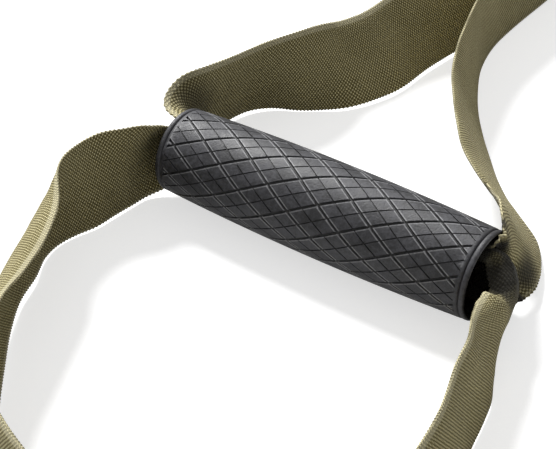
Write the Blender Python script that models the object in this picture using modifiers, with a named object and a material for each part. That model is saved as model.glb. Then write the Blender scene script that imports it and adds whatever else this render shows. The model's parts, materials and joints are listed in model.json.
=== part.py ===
"""Suspension trainer laid out on a floor: two foot-and-hand grips on webbing, cam buckles and a carabiner."""
import bpy
import bmesh
from math import asin, atan2, ceil, cos, hypot, pi, radians, sin, sqrt
from mathutils import Vector

# Driving dimensions, in metres. +X runs along the grips, +Y from the grips to the anchor, +Z up.
# The origin is under the sewn patch where the two legs of the main strap meet.
seat_gap = 0.0003
tube_play = 0.0005
rest_gap = 0.0006
layer_gap = 0.0004
nest_gap = 0.0006
weld_distance = 0.000005

webbing_width = 0.038
webbing_thickness = 0.002

grip_length = 0.140
grip_end_radius = 0.0174
grip_belly_radius = 0.0192
grip_band_length = 0.0040
grip_lip_radius = 0.0175
grip_lip_width = 0.0020
grip_ring_width = 0.0008
grip_ring_depth = 0.0007
diamond_starts = 9
diamond_groove_width = 0.0012
diamond_groove_depth = 0.0007

tube_bore_radius = 0.0138
tube_wall = 0.0013
bush_length = 0.0092
bush_mouth_radius = 0.0153
bush_flange_wall = 0.0006
bush_flange_length = 0.0034
bush_setback = 0.0008

triangle_height = 0.2497
triangle_lap = 0.034
apex_offset = 0.0230
cradle_depth = 0.1877

handle_spread = 0.150
leg_rise = 0.462
patch_length = 0.044
patch_bend = 0.030
twist_lead = 0.004
twist_length = 0.120
twist_settle = 0.006
eye_reach = 0.026
eye_lead = 0.006
eye_lead_rise = 0.0008
eye_climb = 0.014
eye_climb_rise = 0.0040
eye_return = 0.012

run_length = 0.140
run_start = 0.092
run_end_pitch = 0.0044
tail_runs = 3
main_runs = 5
tie_width = 0.020
tie_thickness = 0.0015
tie_margin = 0.002
tab_length = 0.030
tab_overlap = 0.020
tab_width = 0.034
tab_thickness = 0.0012
tab_droop = 0.003
lap_length = 0.036

buckle_place = 0.306
buckle_wall = 0.002
buckle_side_gap = 0.0010
buckle_lead = 0.026
buckle_tail = 0.013
buckle_bar_step = 0.022
buckle_rim = 0.0055
bar_radius = 0.0025
cam_pin_radius = 0.0022
pin_head_radius = 0.0040
pin_head_height = 0.0012
cam_pivot_rise = 0.0065
cam_hub_radius = 0.0050
cam_lever_length = 0.026
cam_lever_rise = 0.0085
cam_lever_thickness = 0.0022
cam_tooth_depth = 0.0009
cam_teeth = 6
cam_side_gap = 0.0005
spring_wire_radius = 0.0005
spring_turns = 3
spring_slot_width = 0.0085
spring_slot_back = 0.0062

carabiner_length = 0.110
carabiner_width = 0.070
rod_radius = 0.005
gate_radius = 0.0042
gate_gap = 0.0004
gate_tongue = 0.0040
gate_pin_radius = 0.0014
gate_swing_radius = 0.0057
gate_end_step = 0.0034
gate_slot_end = 0.0068
latch_thickness = 0.0032
latch_width = 0.0056
latch_length = 0.0050

cut_overrun = 0.004
curve_step = 0.030
fold_step = 0.006
rod_step = 0.012

ribbon_segments = 6
round_segments = 24
pin_segments = 14

crossing_lift_share = 1.2
crossing_reach_share = 0.92
cam_growth_share = 0.14
gate_pin_share = 0.225
twist_place_shares = (0.22, 0.35, 0.48, 0.62, 0.76, 0.90, 1.0)
twist_lean_shares = (0.06, 0.18, 0.38, 0.62, 0.85, 0.97, 1.0)


def clear_scene():
    for item in list(bpy.data.objects):
        bpy.data.objects.remove(item, do_unlink=True)


def new_collection(name):
    group = bpy.data.collections.new(name)
    bpy.context.scene.collection.children.link(group)
    return group


def new_material(name, colour, roughness, metallic):
    material = bpy.data.materials.new(name)
    material.use_nodes = True
    shader = material.node_tree.nodes["Principled BSDF"]
    shader.inputs["Base Color"].default_value = (*colour, 1.0)
    shader.inputs["Roughness"].default_value = roughness
    shader.inputs["Metallic"].default_value = metallic
    material.diffuse_color = (*colour, 1.0)
    return material


clear_scene()
trainer = new_collection("suspension_trainer")
cutters = new_collection("cutters")

finishes = {
    "rubber": ((0.028, 0.028, 0.032), 0.55, 0.0),
    "tube": ((0.55, 0.56, 0.58), 0.45, 0.0),
    "bush": ((0.012, 0.012, 0.013), 0.35, 0.0),
    "webbing": ((0.56, 0.50, 0.35), 0.90, 0.0),
    "tie": ((0.03, 0.03, 0.03), 0.95, 0.0),
    "steel": ((0.62, 0.62, 0.62), 0.30, 1.0),
    "blackened": ((0.06, 0.06, 0.065), 0.40, 0.9),
}


def finish_as(item, finish):
    colour, roughness, metallic = finishes[finish]
    item.data.materials.clear()
    item.data.materials.append(new_material(item.name + "_finish", colour, roughness, metallic))


def add_object(name, data, finish=None, parent=None, group=None):
    item = bpy.data.objects.new(name, data)
    (group or trainer).objects.link(item)
    item.parent = parent
    if finish:
        finish_as(item, finish)
    return item


def add_empty(name, place, turn=(0, 0, 0), parent=None):
    empty = bpy.data.objects.new(name, None)
    trainer.objects.link(empty)
    empty.location = place
    empty.rotation_euler = turn
    empty.parent = parent
    return empty


def mesh_from(name, bm):
    mesh = bpy.data.meshes.new(name)
    bm.to_mesh(mesh)
    bm.free()
    return mesh


def smooth_sides(mesh, angle=40):
    mesh.shade_smooth()
    mesh.set_sharp_from_angle(angle=radians(angle))


def as_cutter(item):
    for collection in list(item.users_collection):
        collection.objects.unlink(item)
    cutters.objects.link(item)
    item.hide_render = True
    item.display_type = "WIRE"
    return item


def curve_to_mesh(item):
    """Replaces a curve object by a mesh with its caps welded, which a Boolean can use."""
    bpy.context.view_layer.update()
    graph = bpy.context.evaluated_depsgraph_get()
    mesh = bpy.data.meshes.new_from_object(item.evaluated_get(graph))
    bm = bmesh.new()
    bm.from_mesh(mesh)
    bmesh.ops.remove_doubles(bm, verts=bm.verts, dist=weld_distance)
    bmesh.ops.recalc_face_normals(bm, faces=bm.faces)
    bm.to_mesh(mesh)
    bm.free()
    name = item.name
    item.name = name + "_guide"
    solid = bpy.data.objects.new(name, mesh)
    item.users_collection[0].objects.link(solid)
    solid.parent = item.parent
    solid.matrix_world = item.matrix_world.copy()
    bpy.data.objects.remove(item, do_unlink=True)
    return solid


def boolean(item, cutter, operation="DIFFERENCE"):
    modifier = item.modifiers.new(operation.lower() + "_" + cutter.name, "BOOLEAN")
    modifier.operation = operation
    modifier.solver = "EXACT"
    modifier.object = cutter
    as_cutter(cutter)


def turned(name, profile, finish=None, parent=None, axis="X", segments=round_segments):
    """A closed ring or a capped pin turned from (along, radius) points, outer side first."""
    bm = bmesh.new()
    turn_points = [bm.verts.new((radius, 0, -along)) for along, radius in profile]
    closed = profile[0][1] > 0
    for first, second in zip(turn_points, turn_points[1:]):
        bm.edges.new((first, second))
    if closed:
        bm.edges.new((turn_points[-1], turn_points[0]))
    item = add_object(name, mesh_from(name, bm), finish, parent)
    screw = item.modifiers.new("turn", "SCREW")
    screw.axis = "Z"
    screw.steps = segments
    screw.render_steps = segments
    screw.use_merge_vertices = True
    screw.merge_threshold = weld_distance
    screw.use_smooth_shade = True
    if axis == "X":
        item.rotation_euler = (0, -pi / 2, 0)
    return item


def pin_profile(radius, half_length, head_radius, head_height):
    """A riveted pin: a shank with a low head at each end."""
    total = half_length + head_height
    return [(-total, 0), (-total, head_radius * 0.75), (-half_length, head_radius), (-half_length, radius),
            (half_length, radius), (half_length, head_radius), (total, head_radius * 0.75), (total, 0)]


def flat_shape(name, outline, thickness, finish=None, parent=None):
    """A closed outline in the local XY plane, filled and extruded evenly to both sides."""
    data = bpy.data.curves.new(name, "CURVE")
    data.dimensions = "2D"
    data.fill_mode = "BOTH"
    data.extrude = thickness / 2
    spline = data.splines.new("POLY")
    spline.points.add(len(outline) - 1)
    for point, (x, y) in zip(spline.points, outline):
        point.co = (x, y, 0, 1)
    spline.use_cyclic_u = True
    return add_object(name, data, finish, parent)


def box(name, low, high, parent=None):
    bm = bmesh.new()
    bmesh.ops.create_cube(bm, size=1)
    size = [b - a for a, b in zip(low, high)]
    centre = [(a + b) / 2 for a, b in zip(low, high)]
    bmesh.ops.scale(bm, vec=size, verts=bm.verts)
    bmesh.ops.translate(bm, vec=centre, verts=bm.verts)
    return add_object(name, mesh_from(name, bm), None, parent)


def rod_cutter(name, radius, half_length, place, parent, axis="X"):
    bm = bmesh.new()
    bmesh.ops.create_cone(bm, cap_ends=True, segments=pin_segments, radius1=radius, radius2=radius,
                          depth=2 * half_length)
    item = add_object(name, mesh_from(name, bm), None, parent)
    item.rotation_euler = (0, pi / 2, 0) if axis == "X" else (0, 0, 0)
    item.location = place
    return item


# Smooth routes and the ribbons of webbing that follow them

def smooth_route(stations, step):
    """Centripetal Catmull-Rom through stations whose first three values are a place."""
    first = [2 * a - b for a, b in zip(stations[0], stations[1])]
    last = [2 * a - b for a, b in zip(stations[-1], stations[-2])]
    points = [first] + [list(station) for station in stations] + [last]
    rows = []
    for a, b, c, d in zip(points, points[1:], points[2:], points[3:]):
        knots = [0.0]
        for one, two in ((a, b), (b, c), (c, d)):
            knots.append(knots[-1] + sqrt(max((Vector(two[:3]) - Vector(one[:3])).length, weld_distance)))
        t0, t1, t2, t3 = knots
        count = max(1, ceil((Vector(c[:3]) - Vector(b[:3])).length / step))
        for index in range(count):
            t = t1 + (t2 - t1) * index / count
            a1 = mix(a, b, (t - t0) / (t1 - t0))
            a2 = mix(b, c, (t - t1) / (t2 - t1))
            a3 = mix(c, d, (t - t2) / (t3 - t2))
            b1 = mix(a1, a2, (t - t0) / (t2 - t0))
            b2 = mix(a2, a3, (t - t1) / (t3 - t1))
            rows.append(mix(b1, b2, (t - t1) / (t2 - t1)))
    rows.append(list(stations[-1]))
    return rows


def mix(a, b, share):
    return [p + (q - p) * share for p, q in zip(a, b)]


def smoothstep(share):
    share = min(max(share, 0.0), 1.0)
    return share * share * (3 - 2 * share)


def tangents(places):
    ahead = places[1:] + [places[-1]]
    behind = [places[0]] + places[:-1]
    return [(Vector(q) - Vector(p)).normalized() for p, q in zip(behind, ahead)]


def standing_rows(stations, step):
    """Rows of a strap on its edge: place, width direction, cup; lean tips the top edge to the left."""
    route = smooth_route(stations, step)
    rows = []
    for (x, y, z, lean, cup), along in zip(route, tangents([row[:3] for row in route])):
        side = Vector((-along.y, along.x, 0)).normalized()
        across = Vector((0, 0, 1)) * cos(radians(lean)) + side * sin(radians(lean))
        across = (across - along * across.dot(along)).normalized()
        rows.append((Vector((x, y, z)), across, radians(cup), along))
    return rows


def level_rows(places, across):
    """Rows of a strap without a cup, from its places and the width direction at each of them."""
    return [(place, side, 0.0, along) for place, side, along in zip(places, across, tangents(places))]


def ribbon(name, rows, width, thickness, segments, finish, parent=None):
    """Webbing: a grid bent to the rows, cupped where a row says so, and given its thickness."""
    bm = bmesh.new()
    bmesh.ops.create_grid(bm, x_segments=len(rows) - 1, y_segments=segments, size=1)
    for vertex in bm.verts:
        index = round((vertex.co.x + 1) / 2 * (len(rows) - 1))
        share = vertex.co.y / 2
        place, across, cup, along = rows[index]
        normal = along.cross(across).normalized()
        if abs(cup) < 0.001:
            vertex.co = place + across * (share * width)
            continue
        bend = width / cup
        turn = cup * share
        vertex.co = place + across * (bend * sin(turn)) + normal * (bend * (1 - cos(turn)))
    mesh = mesh_from(name, bm)
    smooth_sides(mesh, 60)
    item = add_object(name, mesh, finish, parent)
    wall = item.modifiers.new("thickness", "SOLIDIFY")
    wall.thickness = thickness
    wall.offset = 0
    return item


# Levels shared by the straps, the grips and the buckles

half_webbing = webbing_width / 2
half_thick = webbing_thickness / 2
half_grip = grip_length / 2
axis_height = max(grip_belly_radius, half_webbing) + rest_gap
layer_pitch = webbing_thickness + layer_gap

outer_fold_radius = tube_bore_radius - tube_play - half_thick
inner_fold_radius = outer_fold_radius - webbing_thickness - nest_gap
outer_fold_angle = webbing_width / outer_fold_radius
inner_fold_angle = webbing_width / inner_fold_radius

leg_angle = atan2(handle_spread + apex_offset, leg_rise)
leg_length = hypot(handle_spread + apex_offset, leg_rise)
apex_y = -patch_length / 2 - leg_rise
grip_y = apex_y - outer_fold_radius - triangle_height


# Grips

def barrel_radius(x):
    """The grip swells from its ends to its middle."""
    return grip_belly_radius - (grip_belly_radius - grip_end_radius) * (x / half_grip) ** 2


diamond_rows = 11
grip_pattern_length = grip_length - 2 * grip_band_length
diamond_run = grip_pattern_length / diamond_rows
diamond_turn = pi / diamond_starts
core_radius = tube_bore_radius + tube_wall
sleeve_bore = core_radius + seat_gap
flange_radius = bush_mouth_radius + bush_flange_wall
mouth_radius = flange_radius + seat_gap
mouth_depth = bush_setback + bush_flange_length + seat_gap


def diamond_sheet():
    """The grip's lattice, unrolled: diamonds standing up from V-grooves, cut square at both ends."""
    reach = diamond_rows + 2 * diamond_starts
    bm = bmesh.new()
    bmesh.ops.create_grid(bm, x_segments=2 * reach, y_segments=2 * reach, size=reach)
    cells = {}
    for face in bm.faces:
        middle = face.calc_center_median()
        cell = (int((middle.x + reach) // 2), int((middle.y + reach) // 2))
        cells.setdefault(cell, []).append(face)
    for vertex in bm.verts:
        a, b = vertex.co.x + reach % 2, vertex.co.y + reach % 2
        vertex.co = ((a - b + 1) / 2 * diamond_run, (a + b) / 2 * diamond_turn, -diamond_groove_depth)
    outside = []
    for cell, faces in list(cells.items()):
        middle = sum((face.calc_center_median() for face in faces), Vector()) / len(faces)
        around = middle.y / diamond_turn
        within = abs(middle.x) < grip_pattern_length / 2 + diamond_run / 4
        if not within or not -0.25 < around < 2 * diamond_starts - 0.25:
            outside.extend(faces)
            del cells[cell]
    bmesh.ops.delete(bm, geom=outside, context="FACES")
    for faces in cells.values():
        bmesh.ops.inset_region(bm, faces=faces, thickness=diamond_groove_width / 2, depth=diamond_groove_depth,
                               use_boundary=True, use_even_offset=True)
    for end in (-1, 1):
        everything = bm.verts[:] + bm.edges[:] + bm.faces[:]
        bmesh.ops.bisect_plane(bm, geom=everything, dist=diamond_groove_width / 4, clear_outer=True,
                               plane_co=(end * grip_pattern_length / 2, 0, 0), plane_no=(end, 0, 0))
    return bm


def sleeve_end_profile():
    """Places and radii from the end of the diamonds over the ring groove and lip and into the mouth."""
    lip_start = half_grip - grip_lip_width
    ring_start = lip_start - grip_ring_width
    ring_middle = (lip_start + ring_start) / 2
    lip_round = (grip_lip_radius - mouth_radius) / 2
    return [(ring_start, barrel_radius(ring_start)),
            (ring_middle, barrel_radius(ring_middle) - grip_ring_depth),
            (lip_start, grip_lip_radius),
            (half_grip - lip_round, grip_lip_radius),
            (half_grip, grip_lip_radius - lip_round / 2),
            (half_grip, mouth_radius),
            (half_grip - mouth_depth, mouth_radius),
            (half_grip - mouth_depth, sleeve_bore)]


def grip_sleeve(name, parent):
    bm = diamond_sheet()
    for vertex in bm.verts:
        x, around = vertex.co.x, vertex.co.y / (2 * diamond_starts * diamond_turn) * 2 * pi
        radius = barrel_radius(x) + vertex.co.z
        vertex.co = (x, radius * cos(around), radius * sin(around))
    bmesh.ops.remove_doubles(bm, verts=bm.verts, dist=10 * weld_distance)
    last_loops = []
    for end in (-1, 1):
        rim = [edge for edge in bm.edges if edge.is_boundary and edge.verts[0].co.x * end > 0]
        for place, radius in sleeve_end_profile():
            made = bmesh.ops.extrude_edge_only(bm, edges=rim)["geom"]
            rim = [item for item in made if isinstance(item, bmesh.types.BMEdge)]
            ring = {vertex for edge in rim for vertex in edge.verts}
            for vertex in ring:
                share = radius / hypot(vertex.co.y, vertex.co.z)
                vertex.co = (end * place, vertex.co.y * share, vertex.co.z * share)
            rim = [edge for edge in rim if edge.is_boundary and abs(edge.verts[0].co.x - edge.verts[1].co.x)
                   < weld_distance]
        last_loops.extend(rim)
    bmesh.ops.bridge_loops(bm, edges=last_loops)
    bmesh.ops.recalc_face_normals(bm, faces=bm.faces)
    mesh = mesh_from(name, bm)
    smooth_sides(mesh, 20)
    return add_object(name, mesh, "rubber", parent)


def core_tube(name, parent):
    reach = half_grip - bush_length - bush_setback - seat_gap
    return turned(name, [(-reach, core_radius), (reach, core_radius),
                         (reach, tube_bore_radius), (-reach, tube_bore_radius)], "tube", parent)


def mouth_bush(name, parent, end):
    """A bellmouth at one end of the tube: it carries the webbing over the edge and is flanged."""
    back = half_grip - bush_setback - bush_length
    face = half_grip - bush_setback
    shoulder = face - bush_flange_length
    bell_steps = 3
    bell = []
    for index in range(bell_steps + 1):
        share = index / bell_steps
        bell.append((face - share * bush_length, bush_mouth_radius
                     - (bush_mouth_radius - tube_bore_radius) * sin(share * pi / 2)))
    outside = [(back, core_radius), (shoulder, core_radius), (shoulder, flange_radius), (face, flange_radius)]
    profile = outside + bell
    if end < 0:
        profile = [(-along, radius) for along, radius in outside[::-1] + bell[::-1]]
    return turned(name, profile, "bush", parent)


# Straps of one handle, as shares of the half grip, the triangle or the cradle, and the axis height;
# then the lean in degrees and the share of the cup that the webbing has inside the tube

handle_strap_shares = [
    (-0.393, 0.790, 0.98, -7, 0), (-0.471, 0.692, 0.96, -16, 0), (-0.600, 0.567, 0.90, -28, 0),
    (-0.657, 0.495, 0.85, -34, 0), (-0.686, 0.419, 0.81, -38, 0), (-0.729, 0.379, 0.81, -38, 0),
    (-0.786, 0.339, 0.83, -34, 0), (-0.857, 0.299, 0.91, -20, 0), (-0.943, 0.259, 0.96, -6, 0),
    (-1.036, 0.227, 0.98, 6, 0), (-1.114, 0.191, 0.98, 12, 0), (-1.157, 0.143, 0.98, 12, 0),
    (-1.166, 0.099, 1.00, 9, 0.05), (-1.156, 0.062, 1.01, 3, 0.20), (-1.130, 0.033, 1.02, -5, 0.48),
    (-1.080, 0.012, 1.01, -8, 0.78), (-1.016, 0.004, 1.02, -2, 0.95), (-0.900, 0, 1, 0, 1),
    (-0.820, 0, 1, 0, 1), (0.820, 0, 1, 0, 1), (0.900, 0, 1, 0, 1),
    (0.970, 0.001, 1.00, 1, 0.96), (1.014, 0.006, 1.00, 4, 0.68), (1.030, 0.018, 1.00, 10, 0.32),
    (1.022, 0.036, 0.99, 21, 0.08), (0.982, 0.059, 0.96, 29, 0), (0.900, 0.090, 0.88, 35, 0),
    (0.814, 0.123, 0.82, 37, 0), (0.686, 0.151, 0.82, 37, 0), (0.529, 0.187, 0.83, 35, 0),
    (0.386, 0.231, 0.87, 31, 0), (0.243, 0.283, 0.89, 28, 0), (0.100, 0.339, 0.92, 24, 0),
    (-0.029, 0.403, 0.96, 17, 0), (-0.143, 0.475, 0.98, 10, 0), (-0.243, 0.551, 0.98, 5, 0),
    (-0.300, 0.632, 0.98, 2, 0), (-0.307, 0.712, 0.98, 0, 0)]

foot_cradle_shares = [
    (0.800, 0, 1, 0, 1), (0.900, 0, 1, 0, 1), (0.957, 0, 1, 0, 1), (1.014, 0.001, 1, 0, 1),
    (1.071, 0.006, 1, -1, 0.98), (1.125, 0.026, 1.00, -1, 0.92), (1.167, 0.058, 1.00, -4, 0.74),
    (1.194, 0.098, 1.00, -9, 0.48), (1.216, 0.140, 0.99, -13, 0.25), (1.242, 0.190, 0.98, -14, 0.08),
    (1.272, 0.254, 0.98, -13, 0), (1.312, 0.318, 0.98, -11.5, 0), (1.364, 0.387, 0.98, -11, 0),
    (1.479, 0.521, 0.98, -11, 0), (1.500, 0.680, 0.98, -10, 0), (1.314, 0.845, 0.98, -8, 0),
    (0.900, 0.957, 0.98, -4, 0),
    (0.429, 1.000, 0.98, -2, 0), (-0.043, 0.963, 0.97, -2, 0.07), (-0.443, 0.883, 0.96, 0, 0.16),
    (-0.671, 0.803, 0.96, 0, 0.30), (-0.857, 0.718, 0.98, -6, 0.45), (-0.979, 0.638, 1.00, -16, 0.51),
    (-1.086, 0.552, 1.01, -22, 0.51), (-1.164, 0.478, 1.00, -19, 0.48), (-1.236, 0.414, 0.98, -15, 0.36),
    (-1.257, 0.361, 0.97, -6, 0.18), (-1.243, 0.313, 0.97, 3, 0.05), (-1.214, 0.265, 0.97, 9, 0),
    (-1.193, 0.217, 0.98, 8, 0), (-1.164, 0.169, 0.98, 0, 0.10), (-1.164, 0.121, 0.97, -6, 0.30),
    (-1.157, 0.073, 0.97, -5, 0.60), (-1.121, 0.030, 0.99, -2, 0.93), (-1.057, 0.005, 1.03, 0, 1.01),
    (-0.957, 0, 1.01, 0, 1), (-0.900, 0, 1, 0, 1), (-0.800, 0, 1, 0, 1)]


def handed(stations, hand):
    """The right handle is the left one in a mirror."""
    return [(hand * x, y, z, hand * lean, hand * cup) for x, y, z, lean, cup in stations]


def handle_strap(name, parent, hand):
    """Both legs of the triangle and the stretch through the tube, in one piece of webbing."""
    full_cup = webbing_width / outer_fold_radius * 180 / pi
    stations = [(x * half_grip, outer_fold_radius + y * triangle_height, z * axis_height, lean, cup * full_cup)
                for x, y, z, lean, cup in handle_strap_shares]
    apex = outer_fold_radius + triangle_height
    height = half_webbing + rest_gap
    laps = (0, triangle_lap / 2, triangle_lap)
    left = [(-apex_offset - layer_pitch, apex - lap, height, 0, 0) for lap in laps]
    right = [(-apex_offset + layer_pitch, apex - lap, height, 0, 0) for lap in laps[::-1]]
    rows = standing_rows(handed(left + stations + right, hand), curve_step)
    return ribbon(name, rows, webbing_width, webbing_thickness, ribbon_segments, "webbing", parent)


def foot_cradle(name, parent, hand):
    """The loop for a foot: it lies inside the handle strap's fold and its ends meet in the tube."""
    full_cup = webbing_width / inner_fold_radius * 180 / pi
    stations = [(x * half_grip, inner_fold_radius - y * cradle_depth, z * axis_height, lean, cup * full_cup)
                for x, y, z, lean, cup in foot_cradle_shares]
    start = (seat_gap, inner_fold_radius, axis_height, 0, full_cup)
    end = (-seat_gap, inner_fold_radius, axis_height, 0, full_cup)
    rows = standing_rows(handed([start] + stations + [end], hand), curve_step)
    return ribbon(name, rows, webbing_width, webbing_thickness, ribbon_segments, "webbing", parent)


# The legs, whose places are counted down from the sewn patch: u along the leg, z up

def leg_place(u, hand):
    """The point on the floor at u down a leg, and the level direction across it."""
    turn = leg_angle * hand
    corner = Vector((0, -patch_length / 2, 0))
    down = Vector((-sin(turn), -cos(turn), 0))
    if u >= patch_bend:
        return corner + down * u, Vector((-cos(turn), sin(turn), 0))
    if u <= -patch_bend:
        return corner - Vector((0, u, 0)), Vector((-1, 0, 0))
    share = (u + patch_bend) / (2 * patch_bend)
    top = corner + Vector((0, patch_bend, 0))
    bottom = corner + down * patch_bend
    place = top * (1 - share) ** 2 + corner * (2 * share * (1 - share)) + bottom * share ** 2
    slope = ((corner - top) * (1 - share) + (bottom - corner) * share).normalized()
    return place, Vector((slope.y, -slope.x, 0))


def leg_row(u, z, hand):
    place, across = leg_place(u, hand)
    return place + Vector((0, 0, z)), across


run_waist_base = tie_thickness + seat_gap + half_thick
run_middle = run_start + run_length / 2
run_end = run_start + run_length
fold_radius = run_end_pitch / 2
waist_reach = tie_width / 2 + tie_margin


def run_height(layer, u):
    """Height of one layer of the folded webbing: drawn in at the tie, loose at the folds."""
    away = (abs(u - run_middle) - waist_reach) / (run_length / 2 - waist_reach)
    loose = smoothstep(away)
    base = run_waist_base + (half_thick - run_waist_base) * loose
    pitch = layer_pitch + (run_end_pitch - layer_pitch) * loose
    return base + layer * pitch


def folded_runs(first, count):
    """Level runs laid to and fro on each other, from the handle's end, as (u, z) points."""
    fold_steps = 5
    half = run_length / 2
    offsets = [half, (half * 2 + waist_reach) / 3, (half + waist_reach * 2) / 3, waist_reach]
    offsets += [-offset for offset in reversed(offsets)]
    points = []
    for run in range(count):
        layer = first + run
        up = run % 2 == 0
        for offset in offsets:
            u = run_middle + (offset if up else -offset)
            points.append((u, run_height(layer, u)))
        if run == count - 1:
            break
        edge = run_start if up else run_end
        outward = -1 if up else 1
        for index in range(1, fold_steps):
            turn = pi * index / fold_steps
            points.append((edge + outward * fold_radius * sin(turn),
                           run_height(layer, edge) + fold_radius * (1 - cos(turn))))
    return points


def smooth_profile(points, step):
    return [(row[0], row[2]) for row in smooth_route([(u, 0, z) for u, z in points], step)]


# Cam buckle levels, measured from the floor, and its places along the leg

strap_in_buckle = buckle_wall + seat_gap + half_thick
cam_pivot_height = strap_in_buckle + half_thick + seat_gap + cam_pivot_rise
bar_wrap_radius = bar_radius + seat_gap + half_thick
bar_height = strap_in_buckle + half_thick + seat_gap + bar_wrap_radius + half_thick
bar_place = buckle_place - buckle_bar_step
inner_width = webbing_width + 2 * buckle_side_gap
outer_width = inner_width + 2 * buckle_wall


def main_strap_half(hand, patch_height):
    """From the sewn lap at the buckle up through the folded runs to the sewn patch."""
    lap_drop = layer_pitch
    wrap_steps = 8
    points = []
    top = bar_height + bar_wrap_radius
    level = run_height(tail_runs, run_end)
    lap = bar_place - lap_length
    points.append((lap, level - 2 * half_thick - lap_drop))
    points.append(((lap + bar_place) / 2, (level + top) / 2 - lap_drop - half_thick))
    for index in range(wrap_steps + 1):
        turn = -0.62 * pi + 1.16 * pi * index / wrap_steps
        points.append((bar_place + bar_wrap_radius * cos(turn), bar_height + bar_wrap_radius * sin(turn)))
    points.append(((lap + bar_place) / 2, (level + top) / 2 + half_thick))
    points.append((lap, level))
    runs = folded_runs(tail_runs, main_runs)
    start = len(points)
    points.extend(runs)
    route = smooth_profile(points[:start] + runs[:1], fold_step)[:-1] + runs
    climb = run_start
    stack_top = run_height(tail_runs + main_runs - 1, run_start)
    ramp_steps = 7
    for index in range(1, ramp_steps + 1):
        u = climb * (1 - index / ramp_steps)
        base = half_thick + (stack_top - half_thick) * smoothstep(u / climb)
        spread = half_webbing / sin(leg_angle)
        raised = patch_height - half_thick
        if u > patch_bend / 2:
            raised *= crossing_lift_share
        clear = spread * crossing_reach_share
        lift = raised * (1 - smoothstep((u - clear) / (climb - clear)))
        route.append((u, base + lift))
    for index in range(1, 4):
        route.append((-patch_length * index / 3, patch_height))
    return [(leg_row(u, z, hand), (u, z)) for u, z in route]


upper_patch = half_thick + layer_pitch
eye_radius = rod_radius + seat_gap + half_thick
eye_place = patch_length / 2 + eye_reach
eye_height = half_thick + eye_radius


def main_strap():
    """One length of webbing: buckle, folded runs, patch, carabiner eye and the same on the other side."""
    upper = [row for row, _ in main_strap_half(1, upper_patch)]
    lower = [row for row, _ in main_strap_half(-1, half_thick)]
    patch_end = patch_length / 2
    eye = [(patch_end + eye_lead, upper_patch + eye_lead_rise),
           (patch_end + eye_climb, upper_patch + eye_climb_rise)]
    eye_steps = 11
    for index in range(eye_steps + 1):
        turn = 0.69 * pi - 1.19 * pi * index / eye_steps
        eye.append((eye_place + eye_radius * cos(turn), eye_height + eye_radius * sin(turn)))
    eye.append((patch_end + eye_return, half_thick))
    middle = [(Vector((0, y, z)), Vector((-1, 0, 0))) for y, z in eye]
    turned_back = [(place, -across) for place, across in reversed(lower)]
    route = upper + middle + turned_back
    rows = level_rows([place for place, _ in route], [across for _, across in route])
    return ribbon("main_strap", rows, webbing_width, webbing_thickness, 1, "webbing")


def adjusting_strap(name, hand):
    """From between the triangle's ends, twisted flat, through the buckle and into the folded tail."""
    height = half_webbing + rest_gap
    apex_x = -(handle_spread + apex_offset)
    first = apex_y - triangle_lap + layer_gap
    stations = [(apex_x, first, height, 0, 0), (apex_x, first + triangle_lap / 2, height, 0, 0),
                (apex_x, apex_y - twist_lead, height, 0, 0), (apex_x, apex_y + twist_lead, height, 0, 0)]
    for share, lean in zip(twist_place_shares, twist_lean_shares):
        u = leg_length - share * twist_length
        place, _ = leg_place(u, 1)
        tip = radians(90 * lean)
        stations.append((place.x, place.y, half_webbing * cos(tip) + strap_in_buckle * sin(tip), 90 * lean, 0))
    rows = standing_rows(handed(stations, hand), curve_step)
    u = leg_length - twist_length
    route = [(u - twist_settle, strap_in_buckle), (buckle_place, strap_in_buckle), (bar_place, strap_in_buckle),
             (bar_place - lap_length * 0.4, strap_in_buckle * 0.8), (bar_place - lap_length, half_thick)]
    route = smooth_profile(route + [(run_end, half_thick)], fold_step)[:-1] + folded_runs(0, tail_runs)
    flat = [leg_row(u, z, hand) for u, z in route]
    if hand < 0:
        flat = [(place, -across) for place, across in flat]
    places = [row[0] for row in rows] + [place for place, _ in flat]
    across = [row[1] for row in rows] + [side for _, side in flat]
    rows = level_rows(places, across)
    return ribbon(name, rows, webbing_width, webbing_thickness, 1, "webbing")


def adjust_tab(name, hand):
    """A folded pull tab sewn round the end of the adjusting strap."""
    spacing = half_thick + seat_gap + tab_thickness / 2
    start = run_start + tab_overlap
    end = run_start - tab_length
    steps = 5
    lower, upper = [], []
    for index in range(steps + 1):
        u = start + (end - start) * index / steps
        level = run_height(tail_runs - 1, u) - tab_droop * max(0, (run_start - u) / tab_length) ** 2
        lower.append((u, level - spacing))
        upper.append((u, level + spacing))
    level = (lower[-1][1] + upper[-1][1]) / 2
    turn = [(end - spacing * sin(pi * share / 4), level - spacing * cos(pi * share / 4)) for share in (1, 2, 3)]
    route = lower + turn + upper[::-1]
    flat = [leg_row(u, z, hand) for u, z in route]
    rows = level_rows([place for place, _ in flat], [across * hand for _, across in flat])
    return ribbon(name, rows, tab_width, tab_thickness, 1, "tie")


def rounded_outline(low, high, corner):
    """A rectangle with round corners, as (x, y) points."""
    corner_steps = 3
    points = []
    corners = (high[0], high[1]), (low[0], high[1]), (low[0], low[1]), (high[0], low[1])
    for index, (x, y) in enumerate(corners):
        inward = (-1 if x == high[0] else 1, -1 if y == high[1] else 1)
        for step in range(corner_steps + 1):
            turn = pi / 2 * (index + step / corner_steps)
            points.append((x + corner * (inward[0] + cos(turn)), y + corner * (inward[1] + sin(turn))))
    return points


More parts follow.
